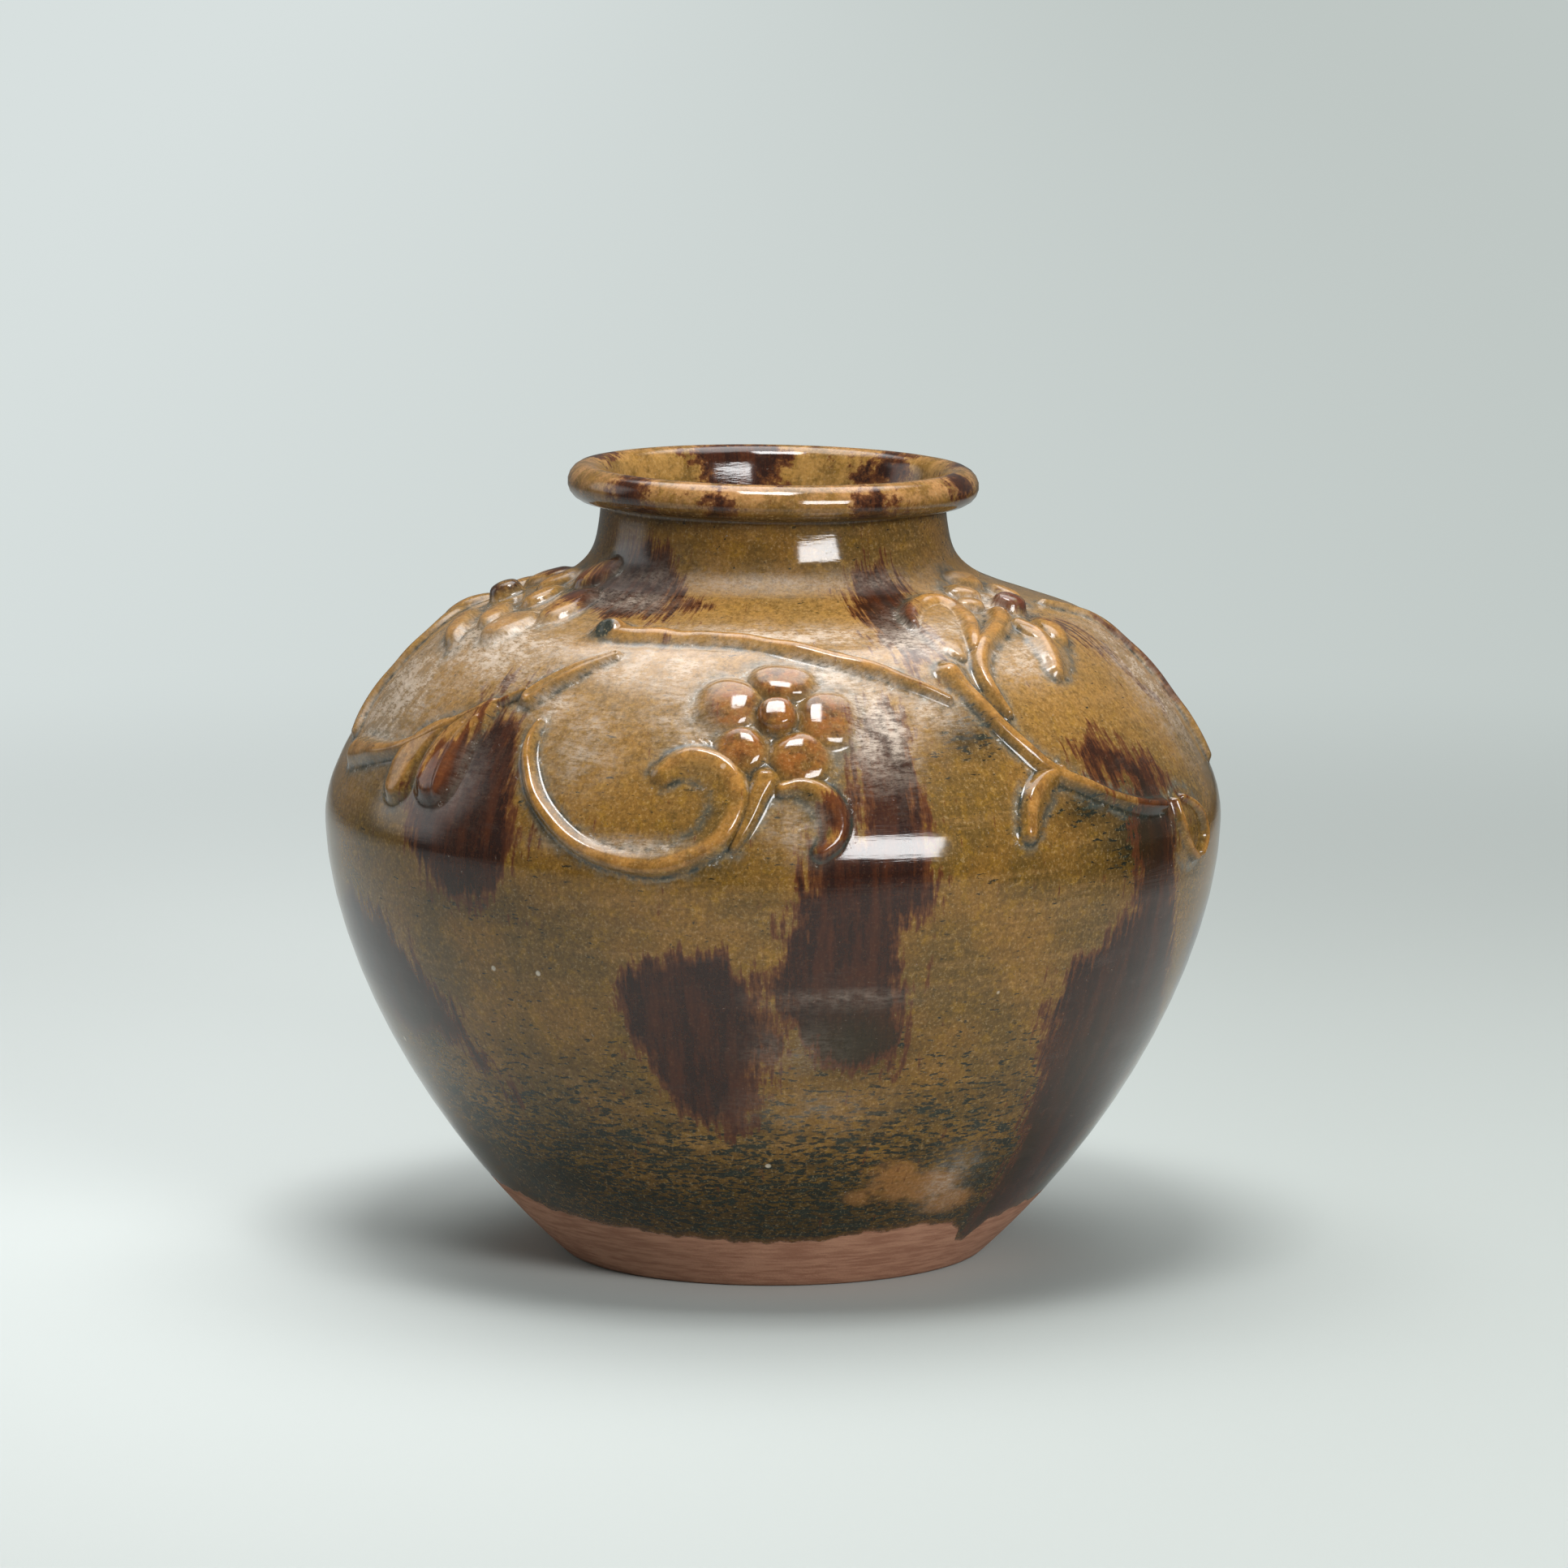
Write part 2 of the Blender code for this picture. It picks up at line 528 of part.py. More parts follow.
def right_motif(wall, parent):
    """The right-hand sprig: a vine with its end leaf, a scroll with its curl, and a hollow leaf."""
    coils = (
        ("vine", RIGHT_VINE_SHARES), ("vine_curl", SIDE_CURL_SHARES), ("scroll", RIGHT_SCROLL_SHARES),
        ("inner_curl", INNER_CURL_SHARES),
    )
    pieces = [vine(wall, name, route, VINE_RISE, "amber_glaze", parent) for name, route in coils]
    pieces.append(leaf(wall, "hollow_leaf", HOLLOW_LEAF_SHARES, HOLLOW_LEAF_WIDTH, HOLLOW_SECTION_SHARES,
                       parent))
    pieces.append(leaf(wall, "end_leaf", END_LEAF_SHARES, END_LEAF_WIDTH, LOBED_SECTION_SHARES, parent))
    return pieces


def place_motif(pieces, first_side, second_side, degrees):
    """Name a sprig's pieces after their side, and repeat them further round the jar."""
    for piece in pieces:
        plain_name = piece.name
        piece.name = f"{first_side}_{plain_name}"
        turned_copy(piece, f"{second_side}_{plain_name}", degrees)


def main():
    clear_scene()
    wall = Wall()
    body = make_body(wall)
    place_motif(front_motif(wall, body), "front", "back", BACK_TURN_DEGREES)
    place_motif(right_motif(wall, body), "right", "left", LEFT_TURN_DEGREES)
    side_flower(wall, "right", RIGHT_BEAD_SHARES, RIGHT_PETAL_SHARES, body)
    side_flower(wall, "left", LEFT_BEAD_SHARES, LEFT_PETAL_SHARES, body)
    vine(wall, "right_edge_vine", RIGHT_EDGE_VINE_SHARES, EDGE_VINE_RISE, "amber_glaze", body)
    vine(wall, "left_edge_vine", LEFT_EDGE_VINE_SHARES, EDGE_VINE_RISE, "amber_glaze", body)


main()
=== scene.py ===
# %% [markdown]
# # A glazed stoneware jar with flower and vine relief
#
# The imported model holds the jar's construction: the thrown body, and each sprig of clay pressed on it.
# This script gives it its looks. The body gets one fine, slightly uneven surface, and each sprig is
# made again as soft clay under a thick glaze. Everything is placed on the wall by two numbers: how far
# round the jar it is, and how far up the wall, so nothing has to be fitted by eye in space.

# %% Load the frame
import math

import bpy
import numpy as np
from mathutils import Euler, Matrix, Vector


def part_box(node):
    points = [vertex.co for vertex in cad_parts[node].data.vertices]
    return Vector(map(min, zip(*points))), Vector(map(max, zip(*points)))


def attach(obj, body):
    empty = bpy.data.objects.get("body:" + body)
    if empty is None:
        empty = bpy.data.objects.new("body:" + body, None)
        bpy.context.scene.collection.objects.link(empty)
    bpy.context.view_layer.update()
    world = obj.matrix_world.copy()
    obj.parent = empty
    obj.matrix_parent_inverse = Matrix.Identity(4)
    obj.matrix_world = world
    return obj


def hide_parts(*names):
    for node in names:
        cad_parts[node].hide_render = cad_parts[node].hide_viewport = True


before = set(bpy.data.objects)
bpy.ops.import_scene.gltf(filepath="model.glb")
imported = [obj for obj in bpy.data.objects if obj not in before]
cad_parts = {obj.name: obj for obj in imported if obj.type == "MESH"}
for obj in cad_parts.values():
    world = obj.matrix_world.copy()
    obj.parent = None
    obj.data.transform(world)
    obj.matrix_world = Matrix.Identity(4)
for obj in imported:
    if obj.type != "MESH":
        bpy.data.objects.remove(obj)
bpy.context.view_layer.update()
body_low, body_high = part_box("jar_body")
print("packed nodes:", len(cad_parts), "body height:", round(body_high.z - body_low.z, 4), "m")

# %% [markdown]
# ## The thrown wall
#
# A potter's profile is a few long curves, so the wall is three cubic curves and an arc for the rolled
# rim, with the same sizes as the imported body. Turning a profile with a Screw modifier would also work,
# but arrays let the same line carry the wall, the relief and the glaze.

# %% Sizes of the thrown body, in metres
MM = 0.001
BASE_RADIUS = 0.0594
FOOT_BEVEL_WIDTH = 0.0039
FOOT_BEVEL_HEIGHT = 0.0021
LOWER_WALL_HEIGHT = 0.1272
BELLY_RADIUS = 0.1305
UPPER_WALL_HEIGHT = 0.0577
SHOULDER_RADIUS = 0.0895
SHOULDER_RISE = 0.0241
THROAT_RADIUS = 0.0510
NECK_HEIGHT = 0.0136
RIM_OVERHANG = 0.0087
RIM_ROLL_RADIUS = 0.0053
WALL_THICKNESS = 0.0060
FLOOR_THICKNESS = 0.0085
FLOOR_FILLET = 0.0120
FOOT_FLARE = math.radians(42.8)
SHOULDER_SLOPE = math.radians(19.9)
RIM_UNDERSIDE = math.radians(-120.0)
RIM_INSIDE = math.radians(168.0)
THROAT_LEAN = math.radians(98.3)
# How far each curve keeps its direction at its start and at its end, as shares of its length or height
LOWER_PULLS = (0.405, 0.275)
UPPER_PULLS = (0.34, 0.234)
NECK_PULLS = (0.578, 0.575)
UNDER_RIM_PULLS = (0.70, 0.15)
MOUTH_PULLS = (0.55, 0.18)
BEVEL_PULLS = (0.5, 0.3)
FINE_STEPS = 240
QUARTER_TURN = math.pi / 2.0


# %% The wall's line
def unit_at(angle):
    """Unit vector at an angle, turned anticlockwise from straight outwards."""
    return np.array((math.cos(angle), math.sin(angle)))


def cubic(start, start_pull, end_pull, end, steps=FINE_STEPS):
    """Points of a cubic curve: each corner weighted by its Bernstein term of the share along."""
    u = np.linspace(0.0, 1.0, steps + 1)[:, None]
    v = 1.0 - u
    return v**3 * start + 3.0 * u * v**2 * start_pull + 3.0 * u**2 * v * end_pull + u**3 * end


def line_normals(line):
    """Unit normals of a (radius, height) line, to the right of its direction: outwards on a rising wall."""
    run = np.gradient(line, axis=0)
    normals = np.column_stack([run[:, 1], -run[:, 0]])
    return normals / np.linalg.norm(normals, axis=1, keepdims=True)


def outer_line():
    """The outside from the foot to the throat: foot to belly, belly to shoulder, shoulder to throat."""
    foot = np.array((BASE_RADIUS + FOOT_BEVEL_WIDTH, FOOT_BEVEL_HEIGHT))
    belly = np.array((BELLY_RADIUS, foot[1] + LOWER_WALL_HEIGHT))
    shoulder = np.array((SHOULDER_RADIUS, belly[1] + UPPER_WALL_HEIGHT))
    throat = np.array((THROAT_RADIUS, shoulder[1] + SHOULDER_RISE))
    outward = unit_at(FOOT_FLARE)
    inward = unit_at(math.pi - SHOULDER_SLOPE)
    up = np.array((0.0, 1.0))
    lower = cubic(foot, foot + outward * LOWER_PULLS[0] * np.linalg.norm(belly - foot),
                  belly - up * LOWER_PULLS[1] * LOWER_WALL_HEIGHT, belly)
    upper = cubic(belly, belly + up * UPPER_PULLS[0] * UPPER_WALL_HEIGHT,
                  shoulder - inward * UPPER_PULLS[1] * UPPER_WALL_HEIGHT, shoulder)
    neck = cubic(shoulder, shoulder + inward * NECK_PULLS[0] * np.linalg.norm(throat - shoulder),
                 throat - unit_at(THROAT_LEAN) * NECK_PULLS[1] * SHOULDER_RISE, throat)
    return np.vstack([lower, upper[1:], neck[1:]])


WALL = outer_line()
WALL_RUN = np.concatenate([[0.0], np.cumsum(np.linalg.norm(np.diff(WALL, axis=0), axis=1))])
WALL_LENGTH = WALL_RUN[-1]
print("wall from foot to throat:", round(WALL_LENGTH / MM, 1), "mm")


# %% The whole closed line, from under the foot to the floor inside
def body_line():
    """Foot, outside, rolled rim, inside and floor, with the length along it counted from the foot's edge."""
    throat = WALL[-1]
    roll_centre = np.array((THROAT_RADIUS + RIM_OVERHANG - RIM_ROLL_RADIUS, throat[1] + NECK_HEIGHT))
    turns = np.linspace(RIM_UNDERSIDE, RIM_INSIDE, FINE_STEPS)
    roll = roll_centre + RIM_ROLL_RADIUS * np.column_stack([np.cos(turns), np.sin(turns)])
    under = cubic(throat, throat + unit_at(THROAT_LEAN) * UNDER_RIM_PULLS[0] * NECK_HEIGHT,
                  roll[0] - unit_at(turns[0] + QUARTER_TURN) * UNDER_RIM_PULLS[1] * NECK_HEIGHT, roll[0])
    inner = (WALL - WALL_THICKNESS * line_normals(WALL))[::-1]
    depth = roll[-1][1] - inner[0][1]
    mouth = cubic(roll[-1], roll[-1] + unit_at(turns[-1] + QUARTER_TURN) * MOUTH_PULLS[0] * depth,
                  inner[0] + unit_at(THROAT_LEAN) * MOUTH_PULLS[1] * depth, inner[0])
    inner = inner[inner[:, 1] > FLOOR_THICKNESS + FLOOR_FILLET]
    toe = inner[-1]
    edge = np.array((toe[0] - FLOOR_FILLET - (toe[1] - FLOOR_THICKNESS), FLOOR_THICKNESS))
    corner = np.array(((toe[0] + edge[0]) / 2.0, FLOOR_THICKNESS))
    fillet = cubic(toe, (toe + corner) / 2.0, corner, edge)
    bevel = cubic(np.array((BASE_RADIUS, 0.0)),
                  np.array((BASE_RADIUS + BEVEL_PULLS[0] * FOOT_BEVEL_WIDTH, 0.0)),
                  WALL[0] - BEVEL_PULLS[1] * FOOT_BEVEL_WIDTH * unit_at(FOOT_FLARE), WALL[0])
    parts = [np.array(((0.0, 0.0),)), bevel, WALL[1:], under[1:], roll[1:], mouth[1:], inner[1:], fillet[1:],
             np.array(((0.0, FLOOR_THICKNESS),))]
    line = np.vstack(parts)
    run = np.concatenate([[0.0], np.cumsum(np.linalg.norm(np.diff(line, axis=0), axis=1))])
    run -= run[len(parts[0]) + len(bevel) - 1]
    return line, run


BODY, BODY_RUN = body_line()
BODY_NORMALS = line_normals(BODY)
RIM_TOP = float(BODY_RUN[np.argmax(BODY[:, 1])])
print("line runs from", round(BODY_RUN[0] / MM), "to", round(BODY_RUN[-1] / MM), "mm; rim top at",
      round(RIM_TOP / MM), "mm")

# %% [markdown]
# ## From wall places to space
#
# A hand-thrown jar is never quite round: it leans a little, its rim dips to one side and the potter's
# fingers leave faint rings. The same small errors must move the wall and the relief alike, so they
# live in the one function that turns a place on the wall into a point in space.

# %% Small errors of the hand
RIM_DIP = 0.9 * MM
OVALITY = 0.30 * MM
RING_DEPTH = 0.03 * MM
RING_SPACING = 11.0 * MM
# Heights in metres: the rings grow up to the first, the ovality up to the belly, the dip over the last two
RINGS_FULL_AT = 0.03
BELLY_HEIGHT = 0.129
DIP_FROM = 0.19
DIP_OVER = 0.04


def wall_radius(run):
    """Radius of the body's line at a length along it."""
    return np.interp(run, BODY_RUN, BODY[:, 0])


def place(turn, run, lift=0.0):
    """Point in space: out along the line's normal by lift, plus ovality, throwing rings and the rim's dip."""
    out = np.interp(run, BODY_RUN, BODY_NORMALS[:, 0])
    rise = np.interp(run, BODY_RUN, BODY_NORMALS[:, 1])
    radius = wall_radius(run)
    height = np.interp(run, BODY_RUN, BODY[:, 1])
    oval = OVALITY * (np.cos(2.0 * turn + 0.7) + 0.5 * np.cos(3.0 * turn - 1.1))
    oval = oval * np.clip(height / BELLY_HEIGHT, 0.0, 1.0)
    fade = np.clip(height / RINGS_FULL_AT, 0.0, 1.0)
    rings = RING_DEPTH * fade * np.sin(2.0 * math.pi * run / RING_SPACING + 0.8 * np.sin(2.0 * turn))
    lift = lift + rings
    radius = radius + lift * out + oval * np.minimum(radius / BELLY_RADIUS, 1.0)
    top = np.clip((height - DIP_FROM) / DIP_OVER, 0.0, 1.0)
    height = height + lift * rise - RIM_DIP * top * np.sin(turn) * radius / THROAT_RADIUS
    return np.stack([radius * np.sin(turn), -radius * np.cos(turn), height], axis=-1)


# %% [markdown]
# ## Routes of the relief
#
# A vine here is a coil of clay, rolled out between the palms and pressed on with slip. Its route is a
# short list of places: degrees round the jar from the front, share of the way up the wall, and width as
# a share of a full coil. The potter smeared one side of most coils onto the wall with a finger, so a
# coil also has a reach to its left and to its right of that route. A smooth curve joins the places.

# %% Coil routes at the front
FRONT_COILS = {
    "arch_vine": (
        (-33.8, 0.849, 1.5), (-31.6, 0.846, 1.45), (-29, 0.845, 1.4), (-24, 0.847, 1.3), (-18, 0.846, 1.2),
        (-10, 0.844, 1.05), (-4, 0.838, 1), (0, 0.831, 1), (5, 0.818, 0.95), (10, 0.806, 0.95),
        (14, 0.794, 0.9), (18, 0.783, 0.85), (21, 0.77, 0.8), (24.5, 0.755, 0.7), (27.3, 0.741, 0.55),
    ),
    "branch": (
        (-27.8, 0.803, 0.6), (-31.5, 0.788, 0.9), (-34.8, 0.77, 1.15), (-37.6, 0.752, 1.3),
        (-39.3, 0.737, 1.3),
    ),
    "trailing_vine": (
        (-40.5, 0.744, 0.4), (-45, 0.722, 0.6), (-50, 0.7, 0.8), (-55, 0.675, 0.95), (-60, 0.654, 1),
        (-65.5, 0.644, 1.15), (-70.5, 0.638, 1.45), (-75, 0.634, 1.7),
    ),
    "scroll": (
        (-35.3, 0.708, 0.5), (-35.6, 0.69, 0.7), (-35.1, 0.668, 0.85), (-33.9, 0.648, 0.9),
        (-32.2, 0.627, 0.9), (-28.5, 0.597, 0.9), (-23.8, 0.572, 0.9), (-19, 0.561, 0.95), (-14, 0.559, 1),
        (-9.8, 0.57, 1.05), (-6.4, 0.589, 1.1), (-4.7, 0.613, 1.1), (-4.2, 0.638, 1.1), (-5.2, 0.66, 1.1),
        (-7.6, 0.676, 1.1), (-10.4, 0.68, 1.05), (-12.8, 0.673, 0.95), (-14.6, 0.658, 0.75),
    ),
    "calyx": (
        (-4.8, 0.58, 0.4), (-3.4, 0.603, 0.65), (-2.5, 0.622, 0.85), (-1.9, 0.638, 1.05), (-1, 0.653, 1.3),
    ),
    "curl": (
        (1.2, 0.643, 0.8), (3.6, 0.648, 0.95), (6.1, 0.641, 1.05), (7.9, 0.624, 1.05), (8.4, 0.603, 1.05),
        (7.6, 0.586, 0.95), (5.8, 0.575, 0.75),
    ),
}
RIGHT_COILS = {
    "vine": (
        (29.8, 0.776, 1.5), (30.8, 0.756, 1.15), (32.3, 0.733, 1.05), (34.2, 0.706, 1.05),
        (36.4, 0.68, 1.05), (38.7, 0.657, 1.05), (41.3, 0.641, 1), (44.5, 0.628, 0.9), (48.5, 0.613, 0.8),
        (53.5, 0.599, 0.75), (59.5, 0.59, 0.6),
    ),
    "vine_curl": (
        (41.2, 0.646, 0.8), (37.9, 0.64, 0.95), (35.3, 0.624, 1), (33.9, 0.604, 0.95), (33.5, 0.584, 0.9),
    ),
    "scroll": (
        (56, 0.868, 1.4), (52, 0.853, 1.25), (47.5, 0.838, 1.1), (43, 0.824, 1.05), (39, 0.807, 1),
        (36.4, 0.786, 0.95), (35.4, 0.765, 0.9), (35.4, 0.743, 0.8), (36.4, 0.717, 0.5),
    ),
    "inner_curl": (
        (55.5, 0.842, 0.7), (55.4, 0.822, 0.95), (54.6, 0.803, 1.15), (53.2, 0.783, 1.15),
        (51.2, 0.762, 0.85),
    ),
}
EDGE_COILS = {
    "right_edge_vine": (
        (81, 0.862, 0.8), (84.5, 0.842, 0.95), (87, 0.815, 1), (88, 0.785, 1), (88.5, 0.75, 1),
        (88.5, 0.715, 1), (88, 0.68, 1), (87.5, 0.645, 1), (86.5, 0.615, 0.9),
    ),
    "left_edge_vine": (
        (-82, 0.65, 0.9), (-86, 0.672, 1), (-88, 0.7, 1), (-89, 0.735, 1), (-90, 0.765, 1),
        (-92, 0.79, 1.2), (-94.5, 0.806, 1.6),
    ),
}
# How each coil was smeared: reach left and right of its route along the way, as shares of its half width
COIL_SHAPES = {
    "front_arch_vine": {"left": (1.0, 1.1, 1.0), "right": (1.1, 1.3, 1.0), "bulb": (5.9e-3, 0.55, 1.80)},
    "front_branch": {"groove": 0.35},
    "front_trailing_vine": {"left": (0.8, 0.8, 1.0), "right": (0.9, 1.1, 1.2)},
    "front_scroll": {"left": (1.0, 1.1, 1.3, 1.7, 2.5, 2.4), "right": (0.9, 0.9, 0.95, 1.0, 0.9, 0.9)},
    "front_calyx": {"groove": 0.20, "right": (1.2, 1.1)},
    "front_curl": {"left": (1.0, 0.9), "right": (1.1, 1.9, 1.3)},
    "right_vine": {"left": (1.0, 0.8, 0.7), "right": (1.0, 1.1, 1.8), "bulb": (4.0e-3, 0.0, 1.10)},
    "right_vine_curl": {"left": (1.2, 2.0, 1.5), "right": (0.9, 0.9)},
    "right_scroll": {"left": (1.1, 1.3, 1.1)},
    "right_inner_curl": {"left": (1.4, 2.3, 1.6), "right": (1.2, 1.5, 1.1)},
}
VINE_WIDTH = 5.6 * MM
VINE_RISE = 2.8 * MM
EDGE_VINE_RISE = 2.0 * MM
COIL_STEP = 2.0 * MM
ENDS_MEET_OVER = 0.10
THIN_COIL_TALL = 0.65


# %% A smooth route
def smooth_route(route, width, left, right):
    """Stations along a route, as (turn, run, left reach, right reach, tall, half width). A cubic goes
    through the places, with the slope of its two neighbours at each. Both reaches meet in their mean at
    the ends."""
    places = np.array(route)
    knots = np.column_stack([np.radians(places[:, 0]), places[:, 1] * WALL_LENGTH,
                             places[:, 2] * width / 2.0])
    girth = wall_radius((knots[1:, 1] + knots[:-1, 1]) / 2.0)
    spans = np.hypot(np.diff(knots[:, 0]) * girth, np.diff(knots[:, 1]))
    at = np.concatenate([[0.0], np.cumsum(spans)])
    slopes = np.gradient(knots, at, axis=0)
    stations = np.linspace(0.0, at[-1], max(4, round(at[-1] / COIL_STEP)) + 1)
    k = np.clip(np.searchsorted(at, stations, side="right") - 1, 0, len(spans) - 1)
    span = spans[k][:, None]
    u = (stations - at[k])[:, None] / span
    path = ((2 * u**3 - 3 * u**2 + 1) * knots[k] + (u**3 - 2 * u**2 + u) * span * slopes[k]
            + (3 * u**2 - 2 * u**3) * knots[k + 1] + (u**3 - u**2) * span * slopes[k + 1])
    along = stations / at[-1]
    half = path[:, 2]
    to_left = half * np.interp(along, np.linspace(0.0, 1.0, len(left)), left)
    to_right = half * np.interp(along, np.linspace(0.0, 1.0, len(right)), right)
    middle = (to_left + to_right) / 2.0
    inner = np.clip(np.minimum(along, 1.0 - along) / ENDS_MEET_OVER, 0.0, 1.0)
    tall = np.minimum(THIN_COIL_TALL + (1.0 - THIN_COIL_TALL) * half / (0.5 * width), 1.0)
    return np.column_stack([path[:, 0], path[:, 1], middle + (to_left - middle) * inner,
                            middle + (to_right - middle) * inner, tall, half])


def wrapped(turn):
    """An angle brought into the half turn either side of zero."""
    return (turn + math.pi) % (2.0 * math.pi) - math.pi


# %% [markdown]
# ## The shape of clay under glaze
#
# Glaze is thick: it rounds the clay and fills the corner between coil and wall. So a coil is not a tube
# here but a height over the wall, which falls off as a soft bell from its crest. Such heights also meet
# each other in natural creases, where a real potter's coils meet.

# %% Height of a coil over the wall
SIDE_DROP = 1.55
SKIRT_SINK = 0.006
# Scaled distance of the corner and how wide it is; sides that reach further than this have a weaker one
CORNER_AT = 1.16
CORNER_WIDTH = 0.25
SHARP_REACH = 3.4 * MM
LEAST_FULL = 0.55
FULL_SHARE = 1.25
GROOVE_WIDTH = 0.34
BULB_FULLNESS = 2.6
DIMPLE_DROP = 0.35
DIMPLE_WIDTH = 0.42
DIMPLE_POOL = 6.0
PILLOW = 2.3
COVERED_BY = 1.2 * MM


def hump(scaled, fullness):
    """1 on the crest, about a fifth at a scaled distance of 1: exp(-1.55 scaled^fullness)."""
    return np.exp(-SIDE_DROP * scaled ** fullness)


def corner_line(scaled, reach):
    """1 where the side meets the wall, a little beyond a scaled distance of 1, and less on broad sides."""
    return np.exp(-((scaled - CORNER_AT) / CORNER_WIDTH) ** 2) * np.clip(SHARP_REACH / reach, 0.0, 1.0)


def coil_field(coil, turn, run):
    """Height, outline distance and corner of a coil. Over all straight bits of its route, the least
    distance scaled by the reach on that side counts; the height is the rise times the hump of it. A side
    smeared further than the coil's half width is less full, so it falls away in a straight slope."""
    path = coil["path"]
    girth = wall_radius(run)
    scaled = np.full(turn.shape, 9.0)
    reach, tall, full = np.full(turn.shape, 1.0 * MM), np.ones(turn.shape), np.ones(turn.shape)
    for start, end in zip(path, path[1:]):
        ax, ay = wrapped(turn - start[0]) * girth, run - start[1]
        bx, by = (end[0] - start[0]) * girth, end[1] - start[1]
        share = np.clip((ax * bx + ay * by) / (bx * bx + by * by), 0.0, 1.0)
        left, right, here_tall, half = (a + (b - a) * share for a, b in zip(start[2:], end[2:]))
        dx, dy = ax - share * bx, ay - share * by
        side = np.where(bx * dy > by * dx, left, right)
        away = np.hypot(dx, dy) / side
        closer = away < scaled
        scaled, reach = np.where(closer, away, scaled), np.where(closer, side, reach)
        tall = np.where(closer, here_tall, tall)
        full = np.where(closer, np.clip(FULL_SHARE * half / side, LEAST_FULL, 1.0), full)
    height = coil["rise"] * tall * hump(scaled, coil["fullness"] * full)
    height = height - coil["groove"] * coil["rise"] * np.exp(-(scaled / GROOVE_WIDTH) ** 2)
    pooled = 0.0
    if coil["bulb"]:
        size, dimple, bulb_tall = coil["bulb"]
        x, y = wrapped(turn - path[0][0]) * girth / size, (run - path[0][1]) / size
        height = np.maximum(height, bulb_tall * coil["rise"] * hump(np.hypot(x, y), BULB_FULLNESS))
        hollow = np.exp(-(np.hypot(x, y + DIMPLE_DROP) / DIMPLE_WIDTH) ** 2)
        height = height - dimple * coil["rise"] * hollow
        pooled = DIMPLE_POOL * dimple * hollow
    distance = (scaled - 1.0) * reach
    corner = np.maximum(corner_line(scaled, reach), pooled)
    return height - SKIRT_SINK * np.maximum(distance, 0.0), distance, corner


# %% [markdown]
# ## Petals, beads and leaves
#
# A petal is a pat of clay pushed on with a thumb: an oval pillow, thickest towards the middle of the
# flower. A leaf is a few broad lobes side by side, with soft ribs on them or a raised rim round them.

# %% Height of a dome over the wall
def dome_field(dome, turn, run):
    """Height, outline distance and corner of an oval: its length and width scale the place, so that the
    scaled place's size is 1 on the outline. The top is a shallow bowl upside down, 1 less roundness times
    the scaled distance squared, and leans from its inner end down to its outer one."""
    x = wrapped(turn - dome["turn"]) * wall_radius(run)
    y = run - dome["run"]
    c, s = math.cos(dome["direction"]), math.sin(dome["direction"])
    p, q = (x * c + y * s) / dome["half_length"], (-x * s + y * c) / dome["half_width"]
    scaled = (np.abs(p) ** PILLOW + np.abs(q) ** PILLOW) ** (1.0 / PILLOW)
    reach = min(dome["half_length"], dome["half_width"])
    distance = (scaled - 1.0) * reach
    top = 1.0 - dome["roundness"] * np.minimum(scaled, 1.0) ** 2
    leant = 1.0 - dome["lean"] * np.clip(p, -1.0, 1.0)
    height = dome["rise"] * hump(scaled, dome["fullness"]) * top * leant
    return height - SKIRT_SINK * np.maximum(distance, 0.0), distance, corner_line(scaled, reach)


def leaf_field(leaf, turn, run):
    """A leaf is the highest of its lobes, plus its ribs where a lobe carries them. A lobe's corner is
    hidden where another lobe covers it."""
    fields = [coil_field(lobe, turn, run) for lobe in leaf["lobes"]]
    height = np.maximum.reduce([field[0] for field in fields])
    distance = np.minimum.reduce([field[1] for field in fields])
    corner = np.maximum.reduce([field[2] * shown(height, field[0]) for field in fields])
    for rib in leaf["ribs"]:
        height = height + np.maximum(coil_field(rib, turn, run)[0], 0.0) * np.clip(height / MM, 0.0, 1.0)
    return height, distance, corner


def shown(height, own_height):
    """How much a corner shows: 1 where its own clay is on top, 0 where other clay stands 1.2 mm over it."""
    return 1.0 - np.clip((height - own_height) / COVERED_BY, 0.0, 1.0)


# %% Every sprig of the relief, by the name of its node
def coil(route, rise=VINE_RISE, width=VINE_WIDTH, left=(1.0, 1.0), right=(1.0, 1.0), fullness=2.9,
         groove=0.0, bulb=None):
    """One coil, with its route smoothed. A bulb at its start is its size, and how deep its dimple
    and how high it is as shares of the rise. The dimple is on its lower side."""
    return {"kind": coil_field, "path": smooth_route(route, width, left, right), "rise": rise,
            "fullness": fullness, "groove": groove, "bulb": bulb}


def dome(degrees, share, direction, length, width, rise, roundness=0.45, lean=0.0):
    """One oval, at degrees round and a share of the way up the wall."""
    return {"kind": dome_field, "turn": math.radians(degrees), "run": share * WALL_LENGTH,
            "direction": math.radians(direction), "half_length": length / 2.0, "half_width": width / 2.0,
            "rise": rise, "fullness": 10.0, "roundness": roundness, "lean": lean}


sprigs = {}
for side, coils in (("front", FRONT_COILS), ("right", RIGHT_COILS)):
    for name, route in coils.items():
        sprigs[f"{side}_{name}"] = coil(route, **COIL_SHAPES.get(f"{side}_{name}", {}))
for name, route in EDGE_COILS.items():
    sprigs[name] = coil(route, rise=EDGE_VINE_RISE)
print("coils:", len(sprigs))

# %% Flowers
FRONT_FLOWER = (0.5, 0.727)
BEAD_DIAMETER = 11.4 * MM
SIDE_BEAD_DIAMETER = 10.8 * MM
BEAD_RISE = 4.6 * MM
PETAL_RISE = 2.8 * MM
SIDE_PETAL_RISE = 2.6 * MM
